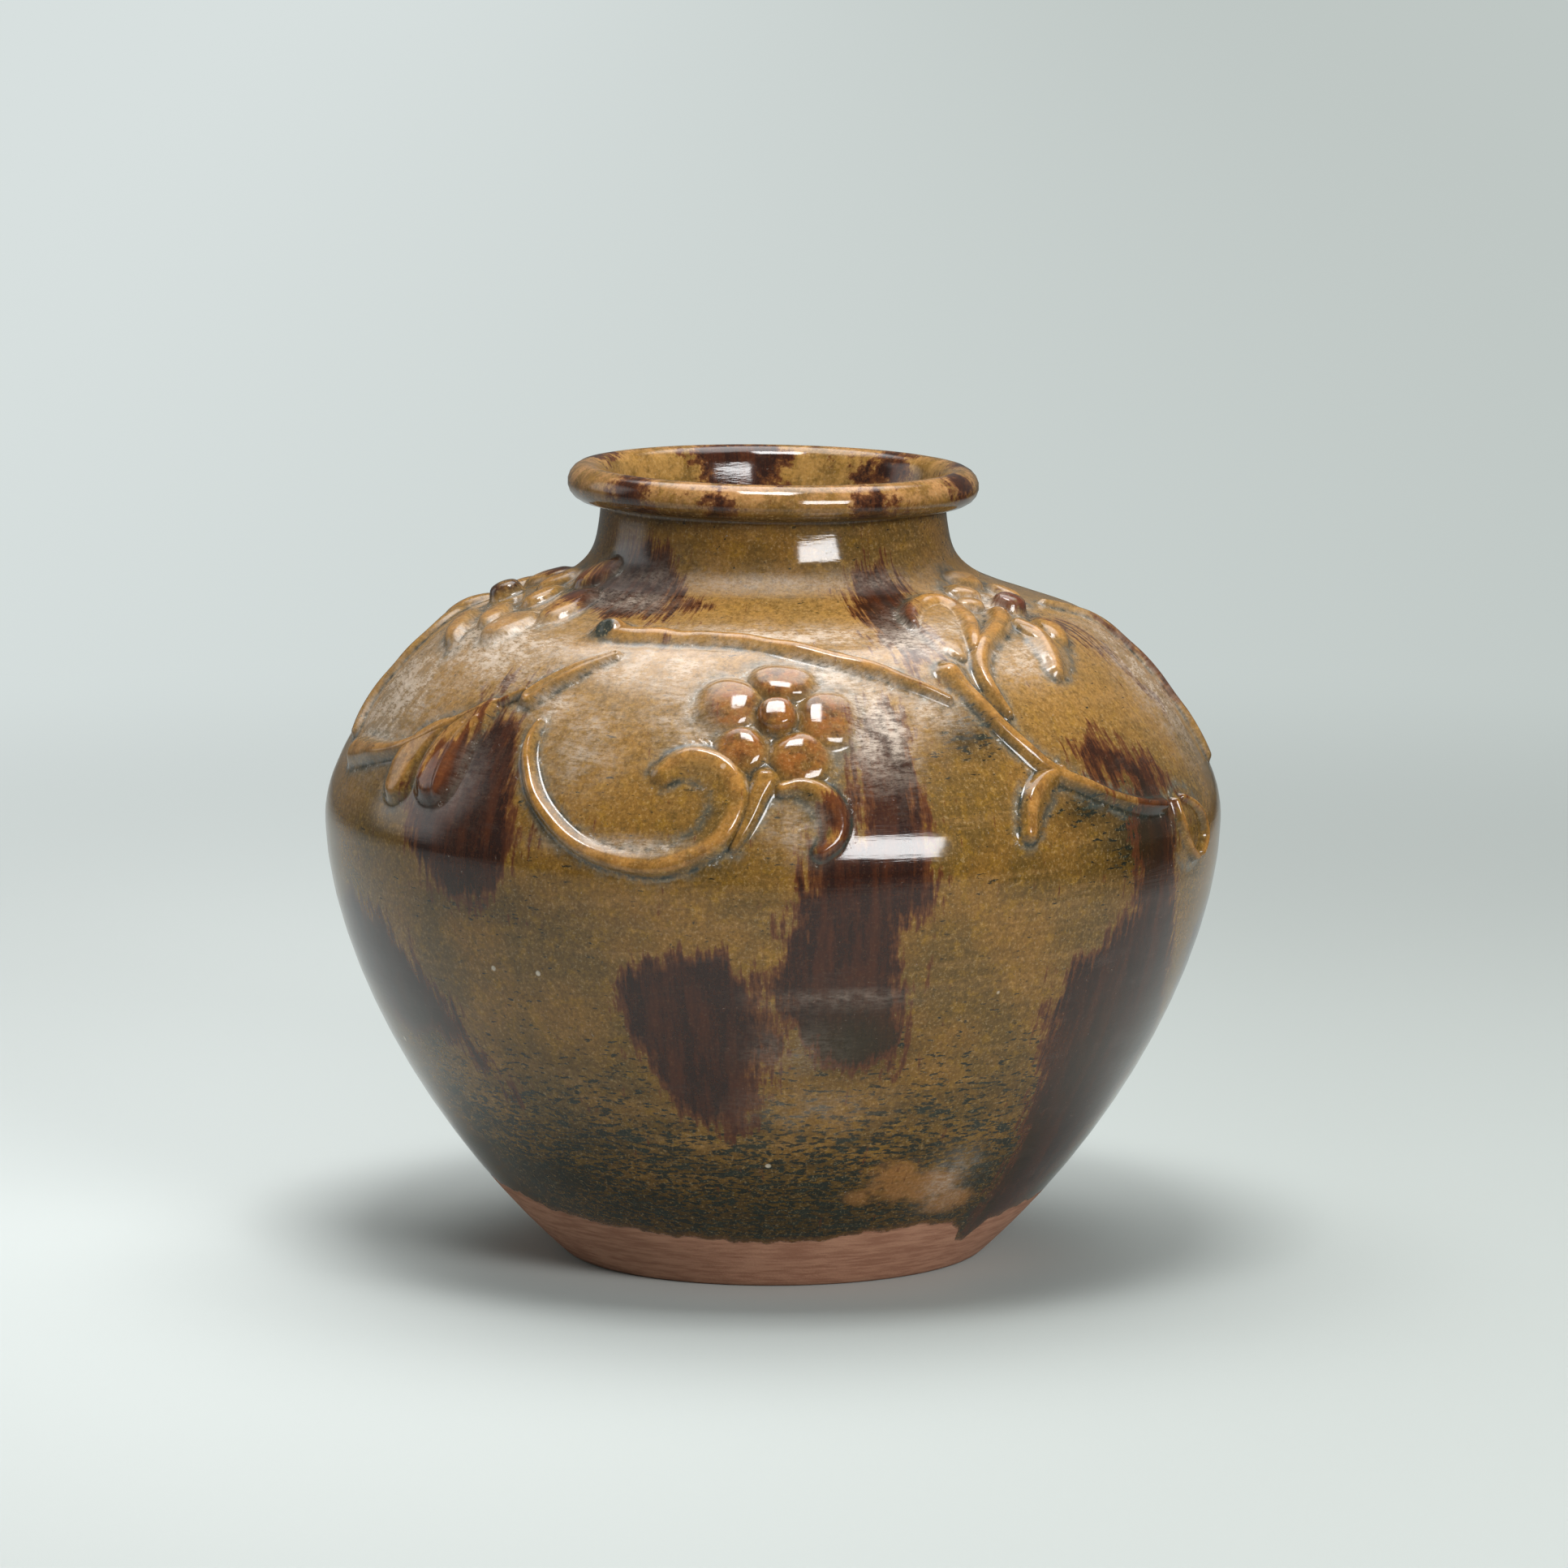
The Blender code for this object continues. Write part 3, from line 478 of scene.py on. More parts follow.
# Each petal is (direction from the bead in degrees, distance, length, width in mm)
FRONT_PETALS = (
    (82, 12.2, 13.2, 19), (163, 14.2, 18.2, 18.4), (227, 14.6, 14.6, 15.2), (296, 15.2, 17.4, 17.2),
    (-4, 14.6, 17, 19.4),
)
RIGHT_BEAD = (64.0, 0.879)
RIGHT_PETALS = (
    (58.3, 0.922, 133, 0.65, 0.84), (67.5, 0.942, 152, 0.82, 0.92), (53.2, 0.898, 137, 0.53, 0.76),
    (55.3, 0.819, 74, 0.95, 0.88), (61.8, 0.819, 52, 1.05, 0.96), (75, 0.903, 65, 0.76, 0.77),
)
LEFT_BEAD = (-92.0, 0.869)
LEFT_PETALS = (
    (-61, 0.834, 112, 1.1, 1.75), (-55.5, 0.893, 108, 1.3, 1.45), (-62.5, 0.954, 40, 1, 1),
    (-71, 0.898, 112, 0.82, 1), (-72, 0.843, 145, 1.2, 0.95), (-77, 0.809, 152, 1.65, 0.88),
    (-79.5, 0.927, 75, 0.85, 1.1), (-99, 0.912, 50, 1.1, 1.2), (-109, 0.87, 172, 1.05, 1.15),
    (-101, 0.817, 100, 1.05, 1.15),
)
SIDE_PETAL_LENGTH = 18.0 * MM
SIDE_PETAL_WIDTH = 9.4 * MM


def front_flower():
    """A bead in a ring of petals that just overlap at their sides."""
    degrees, share = FRONT_FLOWER
    sprigs["front_flower_bead"] = dome(degrees, share, 0.0, BEAD_DIAMETER, BEAD_DIAMETER, BEAD_RISE, 0.11)
    for number, (direction, away, length, width) in enumerate(FRONT_PETALS, start=1):
        up = share + away * MM * math.sin(math.radians(direction)) / WALL_LENGTH
        aside = away * MM * math.cos(math.radians(direction)) / float(wall_radius(up * WALL_LENGTH))
        sprigs[f"front_flower_petal_{number}"] = dome(
            degrees + math.degrees(aside), up, direction, length * MM, width * MM, PETAL_RISE, lean=0.25)


def side_flower(side, bead, petals):
    """A bead among long petals that each have a place and a direction of their own."""
    sprigs[f"{side}_flower_bead"] = dome(*bead, 0.0, SIDE_BEAD_DIAMETER, SIDE_BEAD_DIAMETER, BEAD_RISE, 0.30)
    for number, (degrees, share, direction, long_share, wide_share) in enumerate(petals, start=1):
        sprigs[f"{side}_flower_petal_{number}"] = dome(
            degrees, share, direction, SIDE_PETAL_LENGTH * long_share, SIDE_PETAL_WIDTH * wide_share,
            SIDE_PETAL_RISE, lean=0.15)


front_flower()
side_flower("right", RIGHT_BEAD, RIGHT_PETALS)
side_flower("left", LEFT_BEAD, LEFT_PETALS)
print("sprigs with flowers:", len(sprigs))

# %% Leaves
LOBED_LOBES = (
    (
        (-45.5, 0.721, 0.3), (-47.5, 0.702, 0.5), (-49, 0.681, 0.7), (-49.8, 0.661, 0.86),
        (-50, 0.644, 0.94), (-49.9, 0.632, 0.88),
    ),
    (
        (-52.6, 0.69, 0.28), (-54.6, 0.677, 0.48), (-56.4, 0.659, 0.66), (-57.5, 0.639, 0.76),
        (-57.5, 0.62, 0.7),
    ),
)
LOBED_RIBS = (
    (
        (-46.4, 0.7, 0.6), (-48, 0.68, 0.7), (-48.4, 0.656, 0.8), (-48.2, 0.636, 0.8), (-48, 0.612, 0.7),
    ),
    (
        (-48.6, 0.69, 0.5), (-50.6, 0.668, 0.6), (-51.8, 0.648, 0.7), (-52.2, 0.626, 0.65),
    ),
)
HOLLOW_FLOOR = (
    (33.8, 0.8, 0.26), (33.8, 0.822, 0.62), (35.2, 0.847, 0.92), (37.7, 0.872, 1), (40.5, 0.891, 0.92),
    (42.3, 0.903, 0.74),
)
HOLLOW_RIM = (
    (30.4, 0.866, 0.6), (31.4, 0.884, 0.95), (34.8, 0.902, 1.15), (39.5, 0.914, 1.25), (44.5, 0.916, 1.25),
    (46.8, 0.9, 1.2), (45.8, 0.876, 1.1), (42.8, 0.85, 1.05), (40, 0.828, 0.95), (37.6, 0.808, 0.7),
)
END_FLOOR = (
    (64.2, 0.585, 0.42), (65, 0.574, 0.8), (65.8, 0.561, 1), (66.5, 0.548, 0.8), (67, 0.538, 0.46),
)
END_RIMS = (
    (
        (62.2, 0.59, 0.5), (62.4, 0.572, 0.6), (63.4, 0.552, 0.65), (65.2, 0.536, 0.65), (67, 0.527, 0.6),
    ),
    (
        (64.4, 0.592, 0.5), (67.4, 0.58, 0.65), (69.8, 0.563, 0.68), (70.2, 0.545, 0.65),
        (68.4, 0.529, 0.55),
    ),
)
LOBE_WIDTH = 19.0 * MM


def leaf(lobes, ribs=()):
    """A leaf from finished coils: broad ones for lobes and rims, thin ones for ribs."""
    return {"kind": leaf_field, "lobes": lobes, "ribs": ribs}


sprigs["front_lobed_leaf"] = leaf([coil(lobe, 3.0 * MM, LOBE_WIDTH, fullness=5.0) for lobe in LOBED_LOBES],
                                  [coil(rib, 0.7 * MM, 4.0 * MM) for rib in LOBED_RIBS])
sprigs["right_hollow_leaf"] = leaf([coil(HOLLOW_FLOOR, 1.7 * MM, 16.5 * MM, fullness=3.6),
                                    coil(HOLLOW_RIM, 2.9 * MM, right=(1.3, 1.7, 1.3))])
sprigs["right_end_leaf"] = leaf([coil(END_FLOOR, 1.3 * MM, 19.5 * MM, fullness=3.4)]
                                + [coil(rim, 3.2 * MM) for rim in END_RIMS])
repeats = {name: name.replace("front_", "back_", 1) for name in sprigs if name.startswith("front_")}
repeats.update({f"right_{name}": f"left_{name}" for name in (*RIGHT_COILS, "hollow_leaf", "end_leaf")})
for name, twin in repeats.items():
    sprigs[twin] = {**sprigs[name], "shift": math.pi}
missing = set(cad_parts) - set(sprigs) - {"jar_body"}
print("all sprigs:", len(sprigs), "nodes without one:", sorted(missing))


# %% [markdown]
# ## One relief over the whole jar
#
# Glaze pools in the corners of the relief and runs thin over its ridges, so the wall and every sprig
# need to know of all the corners near them. Each sprig has a box of wall that it can reach, and only
# the places in that box are asked.

# %% Reach of each sprig, and the corners of all of them
MARGIN = 6.0 * MM
BESIDE = 1.3 * MM


def sprig_reach(sprig):
    """Lowest and highest turn and run that a sprig covers, with a margin."""
    if sprig["kind"] is dome_field:
        size = max(sprig["half_length"], sprig["half_width"])
        middle = np.array(((sprig["turn"], sprig["run"], size, size),))
    else:
        coils = sprig["lobes"] if sprig["kind"] is leaf_field else [sprig]
        middle = np.vstack([part["path"][:, :4] for part in coils])
    up = middle[:, 2:4].max(axis=1) + MARGIN
    across = up / wall_radius(middle[:, 1])
    return ((middle[:, 0] - across).min(), (middle[:, 0] + across).max(),
            (middle[:, 1] - up).min(), (middle[:, 1] + up).max())


def sprig_field(sprig, turn, run):
    """Height, outline distance and corner of one sprig, turned to its own place on the jar."""
    return sprig["kind"](sprig, wrapped(turn - sprig.get("shift", 0.0)), run)


def relief_corners(turn, run, lift):
    """At places with clay of that lift: the strongest corner, and how near outside an outline each is."""
    corner, beside = np.zeros(turn.shape), np.zeros(turn.shape)
    for sprig in sprigs.values():
        low_turn, high_turn, low_run, high_run = sprig_reach(sprig)
        own = wrapped(turn - sprig.get("shift", 0.0) - (low_turn + high_turn) / 2.0)
        near = (np.abs(own) < (high_turn - low_turn) / 2.0) & (run > low_run) & (run < high_run)
        if near.any():
            height, distance, line = sprig_field(sprig, turn[near], run[near])
            seen = shown(lift[near], height)
            corner[near] = np.maximum(corner[near], line * seen)
            outside = np.exp(-((distance - BESIDE) / BESIDE) ** 2)
            beside[near] = np.maximum(beside[near], outside * seen)
    return corner, beside


# %% [markdown]
# ## Where the glaze runs dark
#
# Dark iron and manganese glaze was splashed over the ochre one and ran down in the kiln. The splashes
# that the photograph shows are outlines of a few places each, read off it; small ones, and those
# of the far side that cannot be seen, are soft ovals. The shader breaks all their edges into streaks.

# %% Splash outlines as (degrees, height in mm), and ovals
OUTLINES = (
    ((-21.5, 99), (-21, 88), (-16, 63), (-8.5, 53), (-4.5, 51), (-1, 64), (0.5, 82), (-1, 100), (-6.5, 109),
     (-12, 108), (-17, 105)),
    ((5, 139), (2, 121), (0, 104), (-0.5, 90), (2, 84), (5, 77), (11.5, 70), (16.5, 71), (18, 84), (17, 100),
     (16, 113), (20.5, 118), (20.5, 136), (20, 152), (20.5, 168), (18, 177), (14, 176), (11, 165), (10, 150),
     (10.5, 141)),
    ((53.5, 148), (52.5, 113), (42, 100), (39, 90), (40.5, 73), (43, 56), (45, 38), (45.5, 21), (49, 12),
     (58.5, 19), (66, 30), (72, 50), (77, 68), (68.5, 89), (63.5, 109), (62.5, 139), (60, 152)),
    ((-80, 104), (-70, 113), (-60, 108), (-54, 97), (-49, 84), (-44.5, 68), (-40.5, 54), (-43.5, 57),
     (-49, 71), (-55, 76), (-63, 71), (-72, 78), (-80, 90)),
    ((-44, 170), (-50, 158), (-54.5, 144), (-52.5, 128), (-46, 118), (-40, 115), (-36, 121), (-33, 134),
     (-34.5, 146), (-37, 158), (-39, 168)),
    ((-66, 196), (-58, 192), (-48, 194), (-38, 192), (-28, 194), (-24, 199), (-30, 207), (-40, 213),
     (-52, 213), (-62, 206)),
    ((19, 188), (20, 199), (26, 207), (36, 207), (42, 201), (34, 193), (30, 184), (24, 182)),
    ((44, 160), (50, 163), (56, 158), (62, 151), (65, 141), (58, 144), (52, 148), (47, 152)),
    ((62, 191), (66, 192), (71, 184), (74, 174), (77, 164), (73, 171), (68, 181)),
)
# Ovals are (degrees, height in mm, half width in degrees, half height in mm, tilt in degrees)
FRONT_SPLASHES = (
    (64, 193, 4.2, 3.2, 0), (-64, 200, 5, 3, 0), (-46, 176, 4, 2.6, 30), (88, 170, 2, 16, 0),
    (91, 140, 3, 22, 0), (-22, 196, 6, 3.4, 0), (8, 146, 3, 8, 0),
)
FAR_SPLASHES = (
    (106, 118, 8, 26, 0), (110, 88, 5, 24, 0), (128, 168, 7, 18, 0), (150, 112, 12, 20, 0),
    (146, 86, 6, 22, 0), (157, 80, 5, 28, 0), (176, 150, 6, 24, 0), (180, 120, 5, 22, 0),
    (199, 97, 11, 19, 0), (203, 74, 5.5, 20, 0), (222, 140, 8, 21, 0), (226, 110, 4, 22, 0),
    (243, 188, 7, 12, 0), (248, 92, 9, 24, 0), (252, 60, 4, 18, 0), (140, 200, 14, 7, 0),
    (205, 199, 11, 7, 0), (265, 130, 6, 24, 0), (262, 198, 8, 5, 0), (80, 90, 5, 18, 0),
)
# Splashes on the rim and inside the mouth are (degrees, run from the rim's top in mm, half width, half run)
RIM_SPLASHES = (
    (-44, -6, 9, 9), (-15, -10, 6, 6), (30, -11, 9, 6), (68, -4, 8, 8), (192, 9, 16, 12), (139, 8, 12, 7),
    (100, -6, 9, 9), (-110, -4, 12, 9), (-150, -6, 7, 8), (-60, 9, 9, 7), (2, 10, 8, 9), (165, -8, 8, 8),
)
# Splashes join over the soft neck; the girth has a least value, so that ovals near the axis keep a width
SOFT_NECK = 2.0 * MM
LEAST_GIRTH = 0.02
OUTLINES_END = WALL_LENGTH + 8.0 * MM


def run_at(height_mm):
    """Length along the wall at a height on the outside, given in millimetres."""
    return float(np.interp(height_mm * MM, WALL[:, 1], WALL_RUN))


def outline_depth(outline, turn, run, girth):
    """How far inside an outline a place is: the distance to the nearest of its straight sides, positive
    when a line from the place to the right crosses an odd number of sides, else negative."""
    corners = np.array([(math.radians(d) * float(wall_radius(run_at(z))), run_at(z)) for d, z in outline])
    x, y = wrapped(turn) * girth, run
    nearest, inside = np.full(turn.shape, 1.0), np.zeros(turn.shape, dtype=bool)
    for (ax, ay), (bx, by) in zip(corners, np.roll(corners, -1, axis=0)):
        wx, wy = bx - ax, by - ay
        share = np.clip(((x - ax) * wx + (y - ay) * wy) / (wx * wx + wy * wy), 0.0, 1.0)
        nearest = np.minimum(nearest, np.hypot(x - ax - share * wx, y - ay - share * wy))
        crossed = ((ay > y) != (by > y)) & (x < ax + (y - ay) * wx / (wy if wy else 1.0))
        inside ^= crossed
    return np.where(inside, nearest, -nearest)


def soft(depth):
    """Exponential of a depth over the soft neck, from 6 necks outside to 12 inside."""
    return np.exp(np.clip(depth / SOFT_NECK, -6.0, 12.0))


def splash_depth(turn, run):
    """How far inside a splash a place is, in metres, negative outside. For each oval it is one less the
    scaled distance from its middle, times its smaller half size. Splashes that meet join with a soft
    neck: the log of the sum of their exponentials, over 2 mm."""
    girth = np.maximum(wall_radius(run), LEAST_GIRTH)
    total = np.full(turn.shape, math.exp(-6.0))
    outside = (run > 0.0) & (run < OUTLINES_END)
    for outline in OUTLINES:
        total[outside] += soft(outline_depth(outline, turn[outside], run[outside], girth[outside]))
    ovals = [(d, run_at(z), w, h * MM, tilt) for d, z, w, h, tilt in FRONT_SPLASHES + FAR_SPLASHES]
    ovals += [(d, RIM_TOP + r * MM, w, h * MM, 0.0) for d, r, w, h in RIM_SPLASHES]
    for degrees, middle, wide, tall, tilt in ovals:
        x = wrapped(turn - math.radians(degrees)) * girth
        y = run - middle
        c, s = math.cos(math.radians(tilt)), math.sin(math.radians(tilt))
        wide_m = math.radians(wide) * girth
        p, q = (x * c + y * s) / wide_m, (-x * s + y * c) / tall
        total += soft((1.0 - np.hypot(p, q)) * np.minimum(wide_m, tall))
    return SOFT_NECK * np.log(total)


# %% The glaze's lower edge, and soft patches of weather and painted sheen, thin glaze and dark pools
GLAZE_EDGE = (
    (-180, 19), (-150, 23), (-120, 18), (-95, 21), (-75, 24), (-60, 22.5), (-50, 20), (-40, 19),
    (-28, 17.6), (-15, 16.6), (0, 15.8), (10, 16.6), (20, 18.2), (30, 19.4), (40, 18.6), (43.5, 16),
    (45.5, 11), (48.5, 10.5), (50.5, 14.5), (53, 17.5), (63, 19), (80, 21), (105, 17), (130, 22),
    (155, 18), (180, 19),
)
# Patches are (degrees, height in mm, half width in degrees, half height in mm, strength)
# The first table is weathered film, and also painted sheen where the lamps above gleam on the shoulder.
FILM_AND_SHEEN_PATCHES = (
    (0, 190, 26, 7, 1), (-22, 183, 14, 9, 0.9), (15, 170, 6, 16, 1), (10, 182, 14, 7, 0.9),
    (36, 190, 9, 11, 1), (46, 182, 9, 8, 0.8), (-47, 152, 6, 12, 0.15), (-57, 184, 20, 15, 1),
    (-74, 168, 14, 22, 0.9), (-48, 204, 18, 9, 0.12), (-9, 172, 4, 9, 0.6), (10.5, 172, 4, 10, 0.8),
    (28, 188, 10, 9, 0.9), (0, 202, 60, 4, 0.4), (-41, 196, 14, 6, 0.5), (60, 194, 16, 9, 0.9),
    (80, 172, 10, 28, 0.7), (3, 143, 4, 8, 0.4), (24, 172, 6, 9, 0.6), (8, 94, 10, 2.5, 0.25),
    (3, 78, 6, 8, 0.18), (6, 60, 10, 8, 0.18), (33, 34, 5, 11, 0.5), (-18, 137, 9, 2.5, 0.8),
    (-12, 172, 8, 12, 0.6), (-27, 164, 6, 14, 0.5), (-35, 172, 6, 7, 0.7), (180, 184, 40, 13, 0.9),
    (120, 180, 20, 15, 0.8), (230, 180, 24, 13, 0.8), (-95, 120, 10, 36, 0.4), (200, 120, 14, 6, 0.6),
    (140, 70, 10, 10, 0.5),
)
THIN_PATCHES = (
    (21, 37, 5, 7, 0.9), (27, 33, 8, 6, 1), (35, 27, 6.5, 5, 0.9), (16, 31, 5, 4, 0.6),
    (12, 60, 14, 12, 0.25), (-20, 118, 20, 10, 0.25), (150, 34, 16, 9, 0.8), (-130, 32, 12, 7, 0.8),
    (-100, 40, 8, 9, 0.5),
)
OLIVE_PATCHES = (
    (-42, 33, 16, 9, 1), (-24, 28, 12, 9, 0.9), (-5, 25, 16, 8, 0.75), (40, 33, 2.2, 12, 1),
    (46, 38, 6, 22, 0.8), (52, 66, 9, 26, 0.5), (10.5, 80, 8.5, 12, 1), (28.5, 165, 5, 8, 0.9),
    (-58, 76, 7, 11, 0.8), (-70, 74, 10, 16, 0.5), (48, 20, 3, 9, 1), (-62, 36, 9, 10, 0.7),
    (22, 160, 4, 8, 0.4), (68, 62, 8, 34, 0.6), (95, 34, 18, 12, 0.8), (130, 38, 10, 14, 0.7),
    (175, 30, 20, 10, 0.9), (-110, 60, 14, 24, 0.5), (-150, 34, 16, 12, 0.9), (-88, 34, 12, 12, 0.8),
    (-40, 117, 12, 5, 0.6), (44, 143, 6, 6, 0.9), (52, 134, 7, 16, 0.9),
)


def soft_patches(patches, turn, run):
    """Strongest of some soft round patches: strength times the bell of the scaled distance."""
    strongest = np.zeros(turn.shape)
    for degrees, height, wide, tall, strength in patches:
        p = wrapped(turn - math.radians(degrees)) / math.radians(wide)
        q = (run - run_at(height)) / (tall * MM)
        strongest = np.maximum(strongest, strength * np.exp(-p * p - q * q))
    return strongest


def glaze_cover(turn, run):
    """Length along the wall above the glaze's lower edge, negative on the bare foot and the underside."""
    degrees, heights = np.array(GLAZE_EDGE).T
    edge_height = np.interp(np.degrees(wrapped(turn)), degrees, heights * MM)
    edge_run = np.interp(edge_height, WALL[:, 1], WALL_RUN)
    waver = 0.4 * MM * np.sin(turn * 23.0 + 1.0) + 0.3 * MM * np.sin(turn * 57.0)
    return run - edge_run - waver


# %% [markdown]
# ## Meshes
#
# A grid of wall places becomes a mesh with a few named values at each vertex for the shader: how deep
# in a splash it is, how near a corner, how high above the wall, and where it is on the jar as thrown,
# unrolled onto a cylinder so that streaks can run down it and rings round it.

# %% Mesh from points, faces and attributes
SMOOTH_TO = math.radians(60.0)
UNROLLED_RADIUS = 0.1


def build_mesh(name, points, faces):
    """One smooth mesh object in the scene, faces of four corners, shaded round up to a sharp bend."""
    mesh = bpy.data.meshes.new(name)
    mesh.from_pydata(points.reshape(-1, 3), [], faces.reshape(-1, 4))
    mesh.shade_smooth()
    mesh.set_sharp_from_angle(angle=SMOOTH_TO)
    made = bpy.data.objects.new(name, mesh)
    bpy.context.scene.collection.objects.link(made)
    return made


def add_wall_values(mesh, turn, run, lift):
    """Store what the glaze shader reads. Lengths are stored in millimetres, which keeps ramps readable."""
    corner, beside = relief_corners(turn, run, lift)
    values = {"splash_mm": splash_depth(turn, run) / MM, "corner": corner, "beside": beside,
              "lift_mm": lift / MM, "cover_mm": glaze_cover(turn, run) / MM, "up_mm": run / MM,
              "film_and_sheen": soft_patches(FILM_AND_SHEEN_PATCHES, turn, run), "thin": soft_patches(THIN_PATCHES, turn, run),
              "olive": soft_patches(OLIVE_PATCHES, turn, run)}
    for name, value in values.items():
        mesh.attributes.new(name, "FLOAT", "POINT").data.foreach_set("value", value.astype(np.float32))
    thrown = np.column_stack([UNROLLED_RADIUS * np.sin(turn), -UNROLLED_RADIUS * np.cos(turn), run])
    stored = mesh.attributes.new("thrown", "FLOAT_VECTOR", "POINT")
    stored.data.foreach_set("vector", thrown.astype(np.float32).ravel())


# %% The body: rows of the closed line, turned about the axis
COLUMNS = 512
ROW_SPACING = (
    (-70, 12), (-4, 1.2), (0, 2), (30, 3), (140, 3), (152, 1.55), (250, 1.55), (300, 1.9), (320, 2.5),
    (360, 9), (2000, 12),
)


def body_rows():
    """Lengths along the closed line, each a local spacing further than the one before."""
    at, spacing = np.array(ROW_SPACING).T
    rows = [float(BODY_RUN[1])]
    end = float(BODY_RUN[-2])
    while rows[-1] < end - 1.0 * MM:
        rows.append(rows[-1] + float(np.interp(rows[-1] / MM, at, spacing)) * MM)
    rows[-1] = end
    return np.array(rows)


def turned_body():
    """The wall as a grid of rows by turns, with a fan of thin faces closing its two ends at the axis."""
    rows = body_rows()
    turns = np.linspace(-math.pi, math.pi, COLUMNS, endpoint=False)
    run, turn = np.meshgrid(rows, turns, indexing="ij")
    points = place(turn, run).reshape(-1, 3)
    index = np.arange(points.shape[0]).reshape(run.shape)
    after = np.roll(index, -1, axis=1)
    faces = [np.stack([index[:-1], after[:-1], after[1:], index[1:]], axis=-1).reshape(-1, 4)]
    even = np.arange(0, COLUMNS, 2)
    poles = np.array(((0.0, 0.0, 0.0), (0.0, 0.0, FLOOR_THICKNESS)))
    for pole, ring in ((0, index[0]), (1, index[-1])):
        first, middle, last = ring[even], ring[even + 1], ring[(even + 2) % COLUMNS]
        tip = np.full(len(even), points.shape[0] + pole)
        faces.append(np.stack([tip, first, middle, last] if pole else [tip, last, middle, first], axis=-1))
    made = build_mesh("jar_wall", np.vstack([points, poles]), np.vstack(faces))
    all_turn = np.append(turn.ravel(), (0.0, 0.0))
    all_run = np.append(run.ravel(), (BODY_RUN[0], BODY_RUN[-1]))
    add_wall_values(made.data, all_turn, all_run, np.zeros(all_turn.shape))
    return made


jar_wall = turned_body()
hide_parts("jar_body")
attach(jar_wall, "root")
print("wall faces:", len(jar_wall.data.polygons))

# %% [markdown]
# ## A patch for each sprig
#
# Each sprig is a small patch of wall, on an even grid, lifted by its own height. Its edge feathers out
# and dips just under the wall, so that the glaze seems to run from one to the other without a step. An
# underside inside the wall closes the patch, so it is a solid like the clay it stands for.

# %% Patch of one sprig
CELL = 0.55 * MM
UNDERSIDE = -1.2 * MM
FEATHER_START = 2.4 * MM
FEATHER_SLOPE = 0.05
COIL_UNEVENNESS = 0.05
DOME_UNEVENNESS = 0.008


def uneven(turn, run, share):
    """Finger marks: a few long waves, up to twice a share of the height."""
    x = turn * BELLY_RADIUS
    waves = np.sin(x / (3.1 * MM) + run / (5.3 * MM)) + np.sin(run / (2.9 * MM) - x / (6.7 * MM) + 2.0)
    return 1.0 + share * waves


def sprig_patch(name, sprig):
    """Grid of places over the sprig's reach, keeping the cells with a corner above the wall."""
    low_turn, high_turn, low_run, high_run = sprig_reach(sprig)
    high_run = min(high_run, WALL_LENGTH)
    girth = float(wall_radius(np.linspace(low_run, high_run, 9)).max())
    columns = round((high_turn - low_turn) * girth / CELL)
    rows = round((high_run - low_run) / CELL)
    turns = np.linspace(low_turn, high_turn, columns + 1) + sprig.get("shift", 0.0)
    run, turn = np.meshgrid(np.linspace(low_run, high_run, rows + 1), turns, indexing="ij")
    lift, distance, _ = sprig_field(sprig, turn, run)
    share = DOME_UNEVENNESS if sprig["kind"] is dome_field else COIL_UNEVENNESS
    lift = lift * uneven(turn, run, share) - FEATHER_SLOPE * np.maximum(distance - FEATHER_START, 0.0)
    above = lift > 0.0
    kept = above[:-1, :-1] | above[1:, :-1] | above[:-1, 1:] | above[1:, 1:]
    kept[0, :] = kept[-1, :] = kept[:, 0] = kept[:, -1] = False
    index = np.arange(lift.size).reshape(lift.shape)
    corners = np.stack([index[:-1, :-1], index[:-1, 1:], index[1:, 1:], index[1:, :-1]], axis=-1)
    top = corners[kept]
    padded = np.pad(kept, 1)
    skirts = []
    for row_step, column_step, a, b in ((-1, 0, 0, 1), (0, 1, 1, 2), (1, 0, 2, 3), (0, -1, 3, 0)):
        beside = np.roll(padded, (-row_step, -column_step), axis=(0, 1))[1:-1, 1:-1]
        rim = corners[kept & ~beside]
        skirts.append(np.stack([rim[:, b], rim[:, a], rim[:, a] + lift.size, rim[:, b] + lift.size], axis=-1))
    faces = np.vstack([top, top[:, ::-1] + lift.size, *skirts])
    used, faces = np.unique(faces, return_inverse=True)
    both_turn, both_run = (np.tile(values.ravel(), 2)[used] for values in (turn, run))
    both_lift = np.concatenate([lift.ravel(), np.full(lift.size, UNDERSIDE)])[used]
    made = build_mesh(name, place(both_turn, both_run, both_lift), faces)
    add_wall_values(made.data, both_turn, both_run, both_lift)
    return made


patches = {}
for name, sprig in sprigs.items():
    patches[name] = sprig_patch(f"{name}_clay", sprig)
    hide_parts(name)
    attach(patches[name], "root")
print("patches:", len(patches), "faces:", sum(len(p.data.polygons) for p in patches.values()))

# %% [markdown]
# ## The glaze
#
# The real finish is a lime and wood-ash glaze over red stoneware: glassy, mottled ochre to olive, amber
# where it runs thin over an edge and nearly black-green where it pools. Dark splashes are the same
# glass with more iron and manganese in it. The layers blend into each other on the real pot, so one
# shader is built up in the same order: ground, low glaze, splashes, pools, weather, bare foot.

# %% Colours, and the one function that adds shader nodes
COLOUR = {"data_type": "RGBA"}
SMOOTH = {"interpolation_type": "SMOOTHSTEP"}
TIMES = {"operation": "MULTIPLY"}
TIMES_PLUS = {"operation": "MULTIPLY_ADD"}


